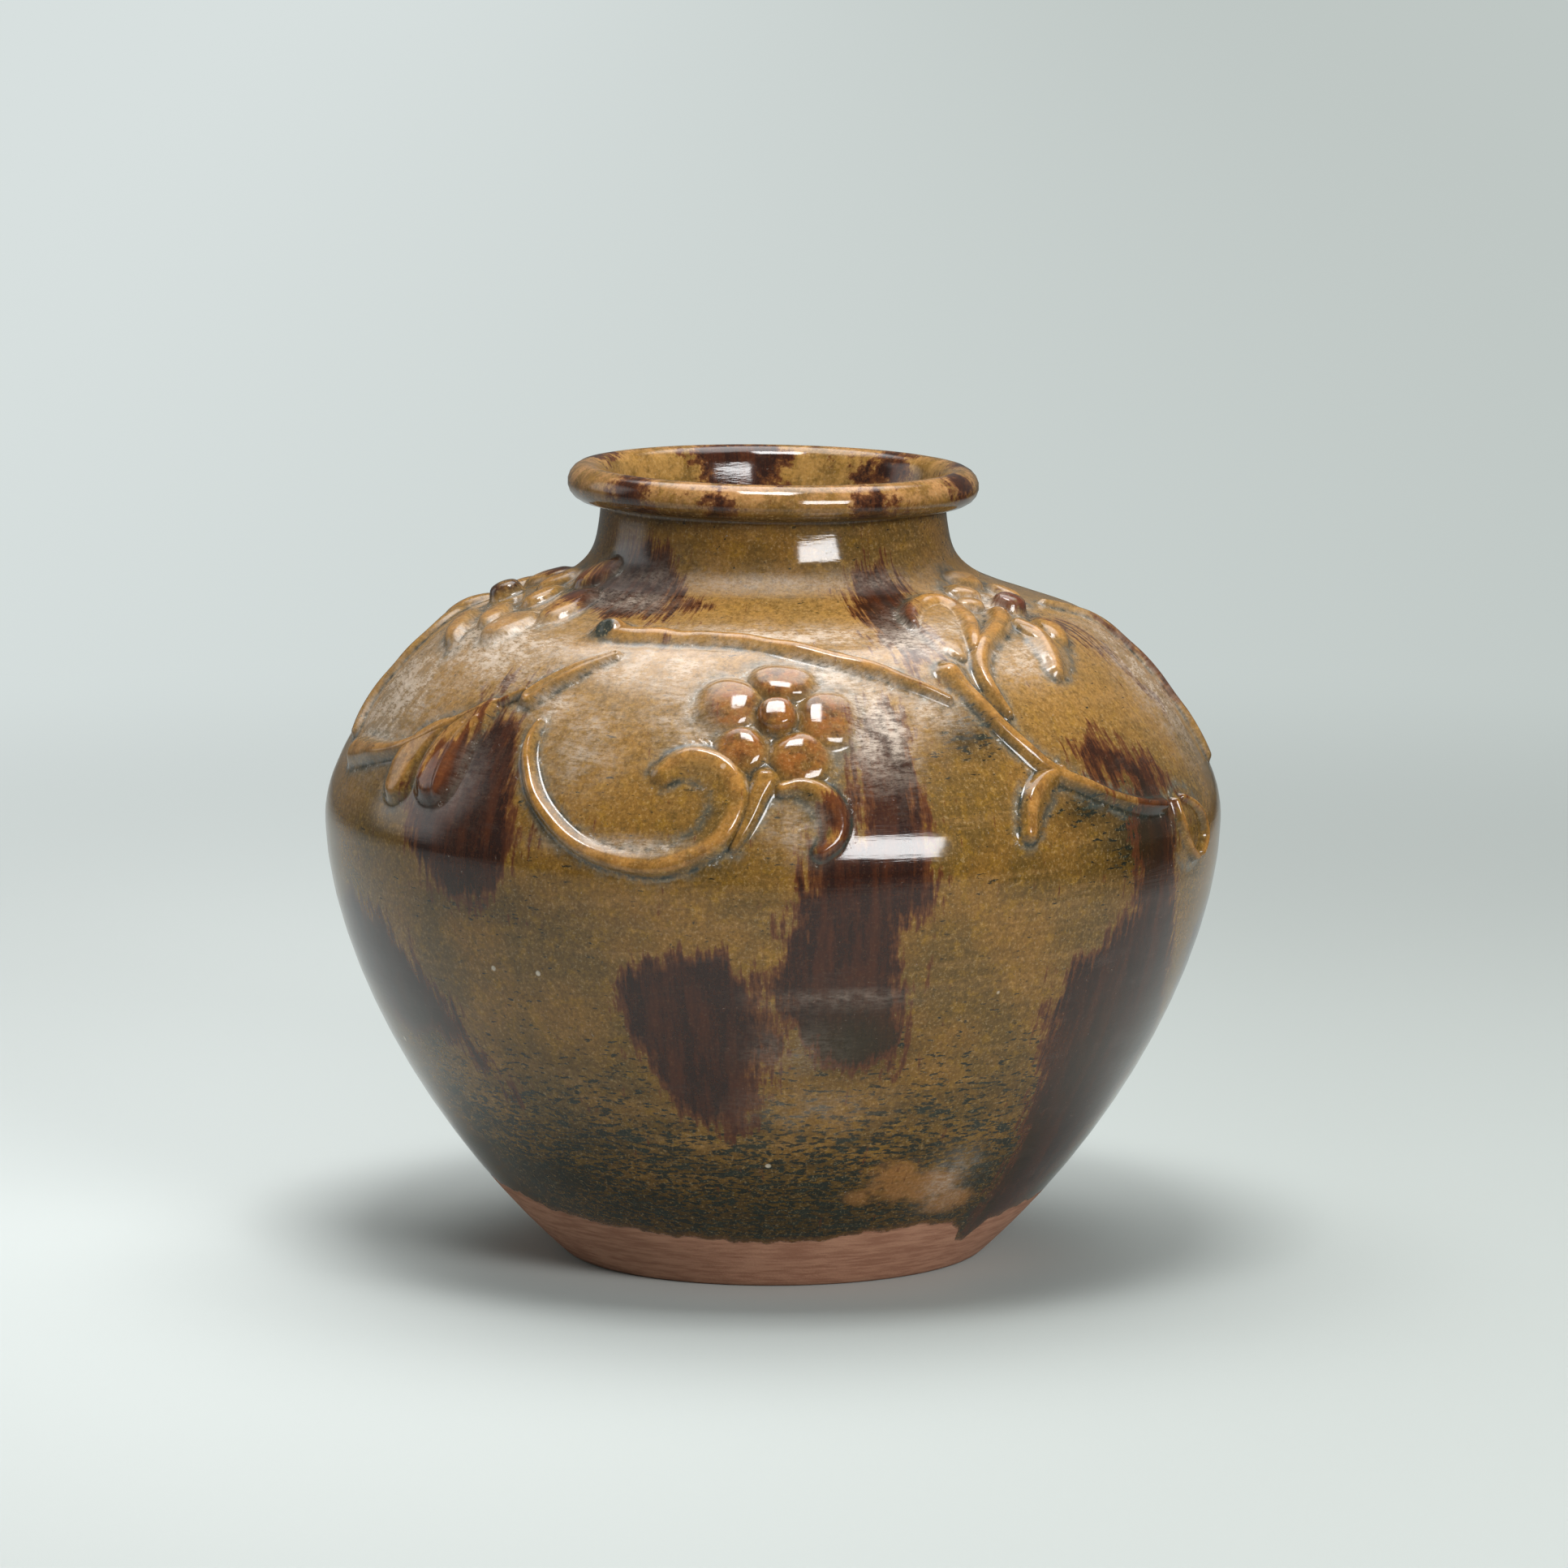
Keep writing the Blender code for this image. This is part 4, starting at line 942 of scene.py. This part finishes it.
def linear(hex_colour):
    """A sRGB hex colour as linear red, green, blue and full alpha."""
    parts = [int(hex_colour[k:k + 2], 16) / 255.0 for k in (1, 3, 5)]
    return (*(p / 12.92 if p <= 0.04045 else ((p + 0.055) / 1.055) ** 2.4 for p in parts), 1.0)


def add(tree, kind, *values, **settings):
    """Add a node: its settings first, then each value is set on, or linked to, its next usable input.
    None leaves that input as it is. Gives back the first usable output."""
    made = tree.nodes.new("ShaderNode" + kind)
    for key, value in settings.items():
        setattr(made, key, value)
    for socket, value in zip([s for s in made.inputs if not s.is_unavailable], values):
        if isinstance(value, bpy.types.NodeSocket):
            tree.links.new(value, socket)
        elif value is not None:
            socket.default_value = value
    return next(s for s in made.outputs if not s.is_unavailable)


# %% What the glaze reads from the surface
STORED = ("splash_mm", "corner", "beside", "lift_mm", "cover_mm", "up_mm", "film_and_sheen", "thin", "olive")
# A pattern is drawn out along a direction by shrinking the places in it
DRAWN_OUT = {"down": (1.0, 1.0, 0.14), "round": (0.10, 0.10, 1.0), "stroke": (0.34, 0.34, 1.0)}


def surface(tree):
    """Places in metres: as they are, drawn out down the wall, drawn out round it, and short strokes; and
    the values stored at the vertices."""
    at = {name: add(tree, "Attribute", attribute_name=name).node.outputs["Fac"] for name in STORED}
    at["place"] = add(tree, "TexCoord").node.outputs["Object"]
    thrown = add(tree, "Attribute", attribute_name="thrown").node.outputs["Vector"]
    for name, stretch in DRAWN_OUT.items():
        at[name] = add(tree, "VectorMath", thrown, stretch, operation="MULTIPLY")
    return at


def mottled(tree, at, colour, *layers):
    """Lay mottled tones over a colour. Each layer is (how it is drawn out, grain in mm, detail, roughness,
    the noise where it starts and where it is full, its strength there, tone)."""
    for way, size, detail, rough, start, full, strength, tone in layers:
        noise = add(tree, "TexNoise", at[way], 1.0 / (size * MM), detail, rough)
        share = add(tree, "MapRange", noise, start, full, 0.0, strength, **SMOOTH)
        colour = add(tree, "Mix", share, colour, linear(tone), **COLOUR)
    return colour


# %% [markdown]
# The ground is one glass over speckled clay. Clouds a few centimetres wide shift it between ochre and
# olive, the wheel's ridges draw it out sideways, and it curdles into yellow and brown grains a
# millimetre or two wide. Iron from the clay bleeds through as fine specks.

# %% Ground glaze
def ground(tree, at):
    """Ochre clouded with olive, drawn out by the wheel, curdled yellow and brown, with iron specks; on the
    shoulder it is painted paler, for the light that falls on it from above."""
    colour = mottled(tree, at, linear("#815c25"),
                     ("place", 26.0, 3.0, 0.55, 0.38, 0.64, 1.00, "#644b20"),
                     ("round", 4.0, 4.0, 0.60, 0.50, 0.72, 0.45, "#967141"),
                     ("place", 4.5, 5.0, 0.72, 0.50, 0.66, 0.60, "#906a1d"))
    # Painted light: the upward-facing shoulder is mixed towards a paler tone, for the light from above,
    # fading out before the neck.
    shoulder = add(tree, "MapRange", at["up_mm"], 150.0, 225.0, 0.0, 0.45, **SMOOTH)
    below_neck = add(tree, "MapRange", at["up_mm"], 268.0, 252.0)
    colour = add(tree, "Mix", add(tree, "Math", shoulder, below_neck, **TIMES), colour,
                 linear("#b58a50"), **COLOUR)
    colour = mottled(tree, at, colour,
                     ("place", 1.9, 5.0, 0.85, 0.47, 0.62, 0.50, "#4b3a1b"),
                     ("place", 1.9, 5.0, 0.85, 0.46, 0.34, 0.34, "#b98f48"))
    iron = add(tree, "TexNoise", at["place"], 1.0 / (1.3 * MM), 3.0, 0.6)
    return add(tree, "Mix", add(tree, "MapRange", iron, 0.68, 0.73, 0.0, 0.80), colour,
               linear("#232a22"), **COLOUR)


# %% [markdown]
# Lower down, the glaze thickened as it ran. It turns dark olive there, and the wheel's ridges hold
# short strokes of green-black glass. Where it stayed thin, the clay shows through in orange. Below
# that, the lowest band is made darker towards the bottom.

# %% Low glaze
def low_glaze(tree, at, colour):
    """Orange where thin, dark olive where thick, darker towards the bottom, and green-black strokes that
    thicken downwards.
    """
    low = add(tree, "MapRange", at["up_mm"], 128.0, 42.0, **SMOOTH)
    clump = add(tree, "TexNoise", at["stroke"], 1.0 / (8 * MM), 4.0, 0.65)
    shade = add(tree, "Math", low, add(tree, "MapRange", clump, 0.40, 0.64, 0.0, 0.62, **SMOOTH), **TIMES)
    # Darker towards the bottom, from 66 mm up the wall downwards.
    darker_towards_bottom = add(tree, "MapRange", at["up_mm"], 66.0, 30.0, 0.0, 0.66, **SMOOTH)
    shade = add(tree, "Math", shade, darker_towards_bottom, operation="MAXIMUM")
    thick = add(tree, "Math", at["olive"], add(tree, "MapRange", clump, 0.28, 0.52, 0.60, 1.0), **TIMES)
    dark = add(tree, "Math", thick, shade, operation="MAXIMUM")
    colour = add(tree, "Mix", dark, colour, linear("#251f0d"), **COLOUR)
    more = add(tree, "Math", add(tree, "Math", low, at["olive"], operation="MAXIMUM"), 0.17, **TIMES)
    for size, top, tone in ((1.1, 0.71, "#1d2119"), (2.3, 0.77, "#262c24")):
        marks = add(tree, "TexNoise", at["stroke"], 1.0 / (size * MM), 3.0, 0.6)
        marks = add(tree, "Math", marks, more, operation="ADD")
        colour = add(tree, "Mix", add(tree, "MapRange", marks, top - 0.05, top, 0.0, 0.95), colour,
                     linear(tone), **COLOUR)
    patchy = add(tree, "TexNoise", at["place"], 1.0 / (5 * MM), 4.0, 0.65)
    thin = add(tree, "Math", at["thin"], add(tree, "MapRange", patchy, 0.34, 0.52, 0.55, 1.0), **TIMES)
    return add(tree, "Mix", add(tree, "MapRange", thin, 0.14, 0.60, 0.0, 0.80, **SMOOTH), colour,
               linear("#9a6a38"), **COLOUR)


# %% [markdown]
# The dark splashes were flicked on from a brush and ran down the wall while molten. Their edges are
# reddish and frayed, and their middles are a deep purple brown that still shows the runs, with ashen
# places drawn out by the wheel. On the rim they are broken into blots.

# %% Dark splashes
def splashes(tree, at, colour):
    """The stored depth, roughened by waves and curds everywhere, by fine runs below the rim and by blots
    on it, sets edge and core."""
    depth = at["splash_mm"]
    for size, detail, rough, reach in ((11.0, 3.0, 0.6, 11.0), (2.4, 4.0, 0.7, 7.0)):
        noise = add(tree, "TexNoise", at["place"], 1.0 / (size * MM), detail, rough)
        moved = add(tree, "Math", noise, reach, -0.5 * reach, **TIMES_PLUS)
        depth = add(tree, "Math", depth, moved, operation="ADD")
    runs = ("down", 1.6, 3.0, 0.6, 284.0, 276.0, 19.0)
    blots = ("place", 4.0, 5.0, 0.7, 278.0, 286.0, 22.0)
    for way, size, detail, rough, none_at, full_at, reach in (runs, blots):
        noise = add(tree, "TexNoise", at[way], 1.0 / (size * MM), detail, rough)
        moved = add(tree, "Math", add(tree, "Math", noise, 0.5, operation="SUBTRACT"),
                    add(tree, "MapRange", at["up_mm"], none_at, full_at, 0.0, reach), **TIMES)
        depth = add(tree, "Math", depth, moved, operation="ADD")
    edge = add(tree, "MapRange", depth, -0.8, 1.8, 0.0, 0.85, **SMOOTH)
    core = add(tree, "MapRange", depth, 0.6, 5.0, 0.0, 0.92, **SMOOTH)
    colour = add(tree, "Mix", edge, colour, linear("#5c2f19"), **COLOUR)
    deep = mottled(tree, at, linear("#1e0e0d"),
                   ("down", 4.5, 5.0, 0.70, 0.40, 0.70, 1.00, "#472211"),
                   ("place", 1.6, 4.0, 0.75, 0.50, 0.66, 0.30, "#54290f"))
    deep = add(tree, "Mix", add(tree, "Math", at["olive"], 0.85, **TIMES), deep, linear("#26230f"), **COLOUR)
    deep = mottled(tree, at, deep, ("stroke", 7.0, 5.0, 0.75, 0.54, 0.72, 0.42, "#4a3c36"))
    return add(tree, "Mix", core, colour, deep, **COLOUR), edge


# %% [markdown]
# Over a ridge the molten glaze drew back and left a thin amber skin. In every corner it pooled, and
# looks blue-grey there, nearly black at its deepest.

# %% Ridges and corners
def ridges_and_corners(tree, at, colour, edge, ridge):
    """Thin skin on raised clay in two tones, rust where a splash crosses it, then the pooled corners, and a
    dark band under the rim that is partly pooled glaze and partly painted shade.
    """
    pale_tone, dark_tone, strength, from_lift = ridge
    patchy = add(tree, "TexNoise", at["place"], 1.0 / (4 * MM), 4.0, 0.65)
    skin = add(tree, "MapRange", at["lift_mm"], from_lift, 2.7, 0.0, strength, **SMOOTH)
    skin = add(tree, "Math", skin, add(tree, "MapRange", patchy, 0.34, 0.58, 0.35, 1.0), **TIMES)
    tone = mottled(tree, at, linear(pale_tone), ("place", 5.5, 3.0, 0.60, 0.46, 0.62, 1.00, dark_tone))
    tone = add(tree, "Mix", edge, tone, linear("#6a2f14"), **COLOUR)
    colour = add(tree, "Mix", skin, colour, tone, **COLOUR)
    near = add(tree, "MapRange", patchy, 0.36, 0.60, 0.05, 0.80, **SMOOTH)
    off_splash = add(tree, "Math", edge, -0.65, 0.65, **TIMES_PLUS)
    grey = add(tree, "Math", at["beside"], add(tree, "Math", near, off_splash, **TIMES), **TIMES)
    colour = add(tree, "Mix", grey, colour, linear("#6c726c"), **COLOUR)
    colour = add(tree, "Mix", add(tree, "Math", at["corner"], add(tree, "Math", near, 0.28, operation="ADD"),
                                  **TIMES), colour, linear("#2a2f29"), **COLOUR)
    # Painted shade under the rolled rim, over glaze that also pools there: a dark band on the neck below it.
    pool_and_shade_under_rim = add(tree, "Math", add(tree, "MapRange", at["up_mm"], 271.0, 281.0),
                    add(tree, "MapRange", at["up_mm"], 290.0, 285.0), **TIMES)
    return add(tree, "Mix", add(tree, "Math", pool_and_shade_under_rim, 0.75, **TIMES), colour, linear("#2e2517"), **COLOUR)


# %% Grit in the glaze
def grain(tree, at, colour, edge):
    """Grains of under a millimetre in all the glass: many are dark, some off the splashes are chalky."""
    grit = add(tree, "TexNoise", at["place"], 1.0 / (0.9 * MM), 3.0, 0.65)
    colour = add(tree, "Mix", add(tree, "MapRange", grit, 0.50, 0.66, 0.0, 0.28), colour, linear("#231a10"),
                 **COLOUR)
    chalky = add(tree, "Math", add(tree, "MapRange", grit, 0.44, 0.30, 0.0, 0.24),
                 add(tree, "Math", 1.0, edge, operation="SUBTRACT"), **TIMES)
    return add(tree, "Mix", chalky, colour, linear("#cbb080"), **COLOUR)


# %% [markdown]
# Long burial dulled the glass on the shoulder. A greyish film lies there in fine sideways scratches, and a
# chalky crust sits in the corners and in flecks lower down. The film's pale colour is partly painted sheen,
# laid where the lamps above gleam on the dull glass.

# %% Weathered film and crust
def weather(tree, at, colour):
    """A film where the stored patches are, broken by sideways scratches and rubbed off the relief, and crust
    beside it; the film's pale colour is partly painted sheen of the lamps above. Gives colour, roughness
    added by wear, which the neck's fillet shows most, and crust."""
    scratch = add(tree, "TexNoise", at["stroke"], 1.0 / (1.1 * MM), 5.0, 0.8)
    broad = add(tree, "TexNoise", at["place"], 1.0 / (6 * MM), 4.0, 0.65)
    kept = add(tree, "Math", at["film_and_sheen"], add(tree, "MapRange", at["lift_mm"], 0.5, 2.2, 1.0, 0.22), **TIMES)
    film_and_painted_sheen = add(tree, "Math", kept, add(tree, "MapRange", scratch, 0.40, 0.58, 0.22, 1.0), **TIMES)
    film_and_painted_sheen = add(tree, "Math", film_and_painted_sheen, add(tree, "MapRange", broad, 0.38, 0.58, 0.30, 1.0), **TIMES)
    # Weathered film and painted sheen: a pale tone laid where the film is, partly for the lamps' gleam on it.
    colour = add(tree, "Mix", film_and_painted_sheen, colour, linear("#d2c1af"), **COLOUR)
    crumbs = add(tree, "TexNoise", at["place"], 1.0 / (1.6 * MM), 5.0, 0.8)
    clump = add(tree, "Math", add(tree, "MapRange", broad, 0.48, 0.64, 0.0, 0.17), at["beside"], **TIMES)
    likely = add(tree, "Math", at["film_and_sheen"], 0.05, clump, **TIMES_PLUS)
    crust = add(tree, "MapRange", add(tree, "Math", crumbs, likely, operation="ADD"), 0.66, 0.76, 0.0, 0.75)
    neck_fillet = add(tree, "Math", add(tree, "MapRange", at["up_mm"], 250.0, 254.0, **SMOOTH),
                      add(tree, "MapRange", at["up_mm"], 264.0, 260.0, **SMOOTH), **TIMES)
    worn = add(tree, "Math", kept, 0.14, add(tree, "Math", neck_fillet, 0.26, **TIMES), **TIMES_PLUS)
    worn = add(tree, "Math", film_and_painted_sheen, 0.24, worn, **TIMES_PLUS)
    return add(tree, "Mix", crust, colour, linear("#b4b0a6"), **COLOUR), worn, crust


# %% [markdown]
# The potter wiped the foot clean so that it would not stick to the kiln shelf. The glaze ends in a
# ragged line a little above it, and below is bare red clay with the wheel's fine lines.

# %% Bare foot
def bare_foot(tree, at, colour):
    """Clay below the stored glaze edge, which is roughened by a few millimetres."""
    noise = add(tree, "TexNoise", at["place"], 1.0 / (4 * MM), 4.0, 0.65)
    ragged = add(tree, "Math", noise, 4.4, -2.2, **TIMES_PLUS)
    cover = add(tree, "Math", at["cover_mm"], ragged, operation="ADD")
    glazed = add(tree, "MapRange", cover, -0.3, 0.5)
    clay = mottled(tree, at, linear("#a06f56"), ("round", 1.6, 4.0, 0.65, 0.36, 0.64, 1.00, "#bb8a6e"))
    lip = add(tree, "MapRange", cover, 2.8, 0.2, 0.0, 0.45)
    colour = add(tree, "Mix", lip, colour, linear("#8a5a30"), **COLOUR)
    return add(tree, "Mix", glazed, clay, colour, **COLOUR), glazed


# %% Thin pale glaze on the rim, and white pinholes
def rim_and_pinholes(tree, at, colour):
    """The rim's top and the mouth are paler in blotches, and burst bubbles dot the wall in white."""
    upper = add(tree, "MapRange", at["up_mm"], 285.0, 293.0, **SMOOTH)
    blotch = add(tree, "TexNoise", at["place"], 1.0 / (7 * MM), 5.0, 0.70)
    upper = add(tree, "Math", upper, add(tree, "MapRange", blotch, 0.40, 0.60, 0.15, 0.80, **SMOOTH), **TIMES)
    mouth = add(tree, "MapRange", at["up_mm"], 299.0, 304.0)
    colour = add(tree, "Mix", upper, colour, add(tree, "Mix", mouth, linear("#b38453"), linear("#a98044"),
                                                 **COLOUR), **COLOUR)
    cells = add(tree, "TexVoronoi", at["place"], 1.0 / (13 * MM), feature="F1")
    chosen = add(tree, "SeparateColor", cells.node.outputs["Color"])
    chosen = add(tree, "Math", chosen, 0.80, operation="GREATER_THAN")
    dots = add(tree, "Math", add(tree, "MapRange", cells, 0.075, 0.045, 0.0, 0.8), chosen, **TIMES)
    return add(tree, "Mix", dots, colour, linear("#cfc4b0"), **COLOUR)


# %% The whole glaze
def glazed_stoneware(name, ridge, gloss):
    """Ash glaze on red stoneware. ridge is the pale and dark tone of raised clay, how strong they are and
    the lift in mm where they begin; gloss is the roughness of sound glass."""
    material = bpy.data.materials.new(name)
    material.use_nodes = True
    tree = material.node_tree
    shader = tree.nodes["Principled BSDF"]
    at = surface(tree)
    colour = rim_and_pinholes(tree, at, low_glaze(tree, at, ground(tree, at)))
    colour, edge = splashes(tree, at, colour)
    colour = grain(tree, at, ridges_and_corners(tree, at, colour, edge, ridge), edge)
    colour, worn, crust = weather(tree, at, colour)
    colour, glazed = bare_foot(tree, at, colour)
    dull = add(tree, "Math", crust, 0.30, add(tree, "Math", worn, gloss, operation="ADD"), **TIMES_PLUS)
    roughness = add(tree, "Mix", glazed, 0.85, dull)

    # Slow waves in the glass, wheel lines, crust that stands proud, grit in the bare clay, the glaze's step
    waves = add(tree, "TexNoise", at["place"], 1.0 / (9 * MM), 2.0, 0.5)
    lines = add(tree, "TexNoise", at["round"], 1.0 / (1.2 * MM), 3.0, 0.6)
    grit = add(tree, "TexNoise", at["place"], 1.0 / (0.8 * MM), 2.0, 0.6)
    bare = add(tree, "Math", 1.0, glazed, operation="SUBTRACT")
    height = add(tree, "Math", waves, 0.15, add(tree, "Math", lines, 0.10, **TIMES), **TIMES_PLUS)
    height = add(tree, "Math", crust, 0.14, height, **TIMES_PLUS)
    height = add(tree, "Math", bare, add(tree, "Math", grit, 0.40, **TIMES), height, **TIMES_PLUS)
    height = add(tree, "Math", glazed, 0.55, height, **TIMES_PLUS)
    bump = add(tree, "Bump", 1.0, 0.3 * MM)
    tree.links.new(height, bump.node.inputs["Height"])
    tree.links.new(colour, shader.inputs["Base Color"])
    tree.links.new(roughness, shader.inputs["Roughness"])
    tree.links.new(bump, shader.inputs["Normal"])
    # A clear lime glass bends light about this much
    shader.inputs["IOR"].default_value = 1.52
    return material


# %% [markdown]
# All four are the same ash glaze fired over red clay. On the thrown wall it is ochre and glassy. On the
# vines it is a thin amber skin, a little duller. The front flower reads as a glossy tea brown, and the
# beads of the side flowers as a deep umber, so each has tones of its own for its raised clay.

# %% Dress the pieces
GLAZES = (
    ("ochre_glaze", "ochre_ash_glaze_on_thrown_stoneware", ("#a5702f", "#7d5029", 0.0, 1.0), 0.09),
    ("amber_glaze", "amber_ash_glaze_over_vines", ("#bb8340", "#8a5c2c", 0.58, 1.6), 0.12),
    ("tea_glaze", "tea_brown_ash_glaze_over_petals", ("#8c5122", "#4b2611", 0.85, 0.8), 0.08),
    ("umber_glaze", "umber_iron_glaze_on_beads", ("#3b1a1a", "#2a1212", 0.92, 0.8), 0.09),
)
glazes = {short: glazed_stoneware(name, ridge, gloss) for short, name, ridge, gloss in GLAZES}


def glaze_of(name):
    """Glaze of a sprig: the side flowers' beads are darkest, the front and back flowers are tea brown."""
    if name in ("right_flower_bead", "left_flower_bead"):
        return "umber_glaze"
    return "tea_glaze" if name.startswith(("front_flower", "back_flower")) else "amber_glaze"


jar_wall.data.materials.append(glazes["ochre_glaze"])
for name, patch in patches.items():
    patch.data.materials.append(glazes[glaze_of(name)])
for cad_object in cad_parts.values():
    cad_object.data.materials.clear()
    cad_object.data.materials.append(glazes["ochre_glaze"])
print("materials:", [m.name for m in bpy.data.materials if m.users])

# %% [markdown]
# ## The photographer's table
#
# The jar stands on a pale grey sweep under a wide overhead softbox. A small one above the camera gleams on
# the shoulder, one in front on the right shows as the square highlights, and a large dim panel lights the
# left side. The floor keeps the shadow near the jar and fades to the backdrop's own grey further off, so
# no horizon shows. Only the camera sees that grey at full strength: the glaze mirrors a dim room.

# %% Floor
FLOOR_FRONT = -8.0
FLOOR_BACK = 12.0
FLOOR_SIDE = 8.0
WORLD_LIGHT = 0.20
DIMMED_NEAR = 0.16


def floor():
    """A flat sheet of one face, wide enough to fill the view, of matte backdrop paper: grey with no shine,
    with a painted light falloff that makes it paler on the left and darker towards the front. Every ray but
    the camera's sees it dimmed a little near the jar and more in front and on the right, so that less
    light is thrown up at the foot."""
    mesh = bpy.data.meshes.new("table")
    corners = ((-FLOOR_SIDE, FLOOR_FRONT, 0.0), (FLOOR_SIDE, FLOOR_FRONT, 0.0), (FLOOR_SIDE, FLOOR_BACK, 0.0),
               (-FLOOR_SIDE, FLOOR_BACK, 0.0))
    mesh.from_pydata(corners, [], [(0, 1, 2, 3)])
    made = bpy.data.objects.new("table", mesh)
    bpy.context.scene.collection.objects.link(made)
    material = bpy.data.materials.new("matte_backdrop_paper")
    material.use_nodes = True
    tree = material.node_tree
    place_on_it = add(tree, "TexCoord").node.outputs["Object"]
    spot = add(tree, "SeparateXYZ", place_on_it).node.outputs
    camera_ray = add(tree, "LightPath").node.outputs["Is Camera Ray"]
    # Painted light falloff: the paper is paler on the left of the jar and darker on its right.
    across = add(tree, "MapRange", spot["X"], -0.22, 0.20, **SMOOTH)
    pale = add(tree, "Mix", across, linear("#c5cbc9"), linear("#acb2af"), **COLOUR)
    # Painted light falloff: the paper darkens towards the front.
    near = add(tree, "MapRange", spot["Y"], 0.0, -0.60, 0.0, 0.75)
    pale = add(tree, "Mix", near, pale, linear("#a7aca9"), **COLOUR)
    front = add(tree, "MapRange", spot["Y"], -0.36, -0.72, **SMOOTH)
    right = add(tree, "MapRange", spot["X"], 0.34, 0.62, **SMOOTH)
    dimmed = add(tree, "Math", add(tree, "Math", front, right, operation="MAXIMUM"), DIMMED_NEAR,
                 operation="MAXIMUM")
    unseen = add(tree, "Math", dimmed, add(tree, "Math", 1.0, camera_ray, operation="SUBTRACT"), **TIMES)
    paper = add(tree, "BsdfPrincipled", add(tree, "Mix", unseen, pale, linear("#2a2a2a"), **COLOUR))
    paper.node.inputs["Roughness"].default_value = 0.9
    # Painted light falloff on the backdrop's glow: paler on the left, darker on the right.
    tint = add(tree, "Mix", add(tree, "MapRange", spot["X"], -0.6, 0.6, **SMOOTH), linear("#d8e0df"),
               linear("#bfc7c4"), **COLOUR)
    glow = add(tree, "Emission", tint, add(tree, "Mix", camera_ray, WORLD_LIGHT, 1.0))
    from_jar = add(tree, "VectorMath", place_on_it, operation="LENGTH")
    seen_far = add(tree, "MapRange", from_jar, 0.45, 1.3, **SMOOTH)
    mirrored_far = add(tree, "MapRange", from_jar, 0.9, 2.6, **SMOOTH)
    mixed = add(tree, "MixShader", add(tree, "Mix", camera_ray, mirrored_far, seen_far), paper, glow)
    tree.links.new(mixed, tree.nodes["Material Output"].inputs["Surface"])
    tree.nodes.remove(tree.nodes["Principled BSDF"])
    mesh.materials.append(material)
    return made


table = floor()


# %% Lamps and world
JAR_MIDDLE = (0.0, 0.0, 0.15)


def softbox(name, where, width, height, power, edge_fade, roll):
    """A rectangular lamp at a place, turned to face the jar and rolled by some degrees, fading to its
    edges like lit cloth over a share of its size."""
    lamp = bpy.data.lights.new(name, "AREA")
    lamp.shape = "RECTANGLE"
    lamp.size, lamp.size_y, lamp.energy = width, height, power
    lamp.use_nodes = True
    tree = lamp.node_tree
    spread = add(tree, "SeparateXYZ", add(tree, "NewGeometry").node.outputs["Parametric"]).node.outputs
    strength = None
    for side in (spread["X"], spread["Y"]):
        from_middle = add(tree, "Math", side, 0.5, operation="SUBTRACT")
        from_edge = add(tree, "Math", from_middle, operation="ABSOLUTE")
        fade = add(tree, "MapRange", from_edge, 0.5, 0.5 - edge_fade, **SMOOTH)
        strength = add(tree, "Math", strength, fade, **TIMES) if strength else fade
    tree.links.new(strength, tree.nodes["Emission"].inputs["Strength"])
    made = bpy.data.objects.new(name, lamp)
    bpy.context.scene.collection.objects.link(made)
    made.location = where
    away = np.array(where) - np.array(JAR_MIDDLE)
    tilt = math.acos(away[2] / np.linalg.norm(away))
    facing = Euler((tilt, 0.0, math.atan2(away[1], away[0]) + math.pi / 2.0)).to_matrix()
    made.rotation_euler = (facing @ Matrix.Rotation(math.radians(roll), 3, "Z")).to_euler()


# Lamps are (name, place in metres, width, height, watts, share that fades at each edge, roll in degrees)
LAMPS = (
    ("overhead_softbox", (0.0, 0.35, 1.40), 1.9, 1.5, 37.0, 0.30, 0.0),
    ("top_softbox", (-0.02, -0.34, 1.45), 0.50, 0.44, 14.0, 0.10, 0.0),
    ("front_softbox", (0.738, -1.269, 0.648), 0.70, 0.49, 19.0, 0.03, -9.6),
    ("left_panel", (-2.2, 0.7, 0.9), 1.8, 1.8, 11.0, 0.30, 0.0),
)
for lamp in LAMPS:
    softbox(*lamp)
print("lamps:", [lamp[0] for lamp in LAMPS])
world = bpy.data.worlds.new("studio")
bpy.context.scene.world = world
world.use_nodes = True
sky = world.node_tree
dim_or_pale = add(sky, "Mix", add(sky, "LightPath").node.outputs["Is Camera Ray"], WORLD_LIGHT, 1.0)
sky.nodes["Background"].inputs["Color"].default_value = linear("#d4dcdb")
sky.links.new(dim_or_pale, sky.nodes["Background"].inputs["Strength"])

# %% [markdown]
# ## The camera
#
# A long lens from a little above, as catalogue photographs are taken. The lens, distance and height
# were solved from the jar's outline and its two ellipses.

# %% Camera
CAMERA_LENS_MM = 193.86
CAMERA_SENSOR_MM = 36.0
CAMERA_PLACE = (0.00304, -2.4329, 0.4946)
CAMERA_DOWN = 8.37413
camera_data = bpy.data.cameras.new("catalogue_camera")
camera_data.lens = CAMERA_LENS_MM
camera_data.sensor_width = CAMERA_SENSOR_MM
camera = bpy.data.objects.new("catalogue_camera", camera_data)
camera.location = CAMERA_PLACE
camera.rotation_euler = (math.radians(90.0 - CAMERA_DOWN), 0.0, 0.0)
bpy.context.scene.collection.objects.link(camera)
bpy.context.scene.camera = camera
bpy.context.scene.view_settings.view_transform = "Standard"
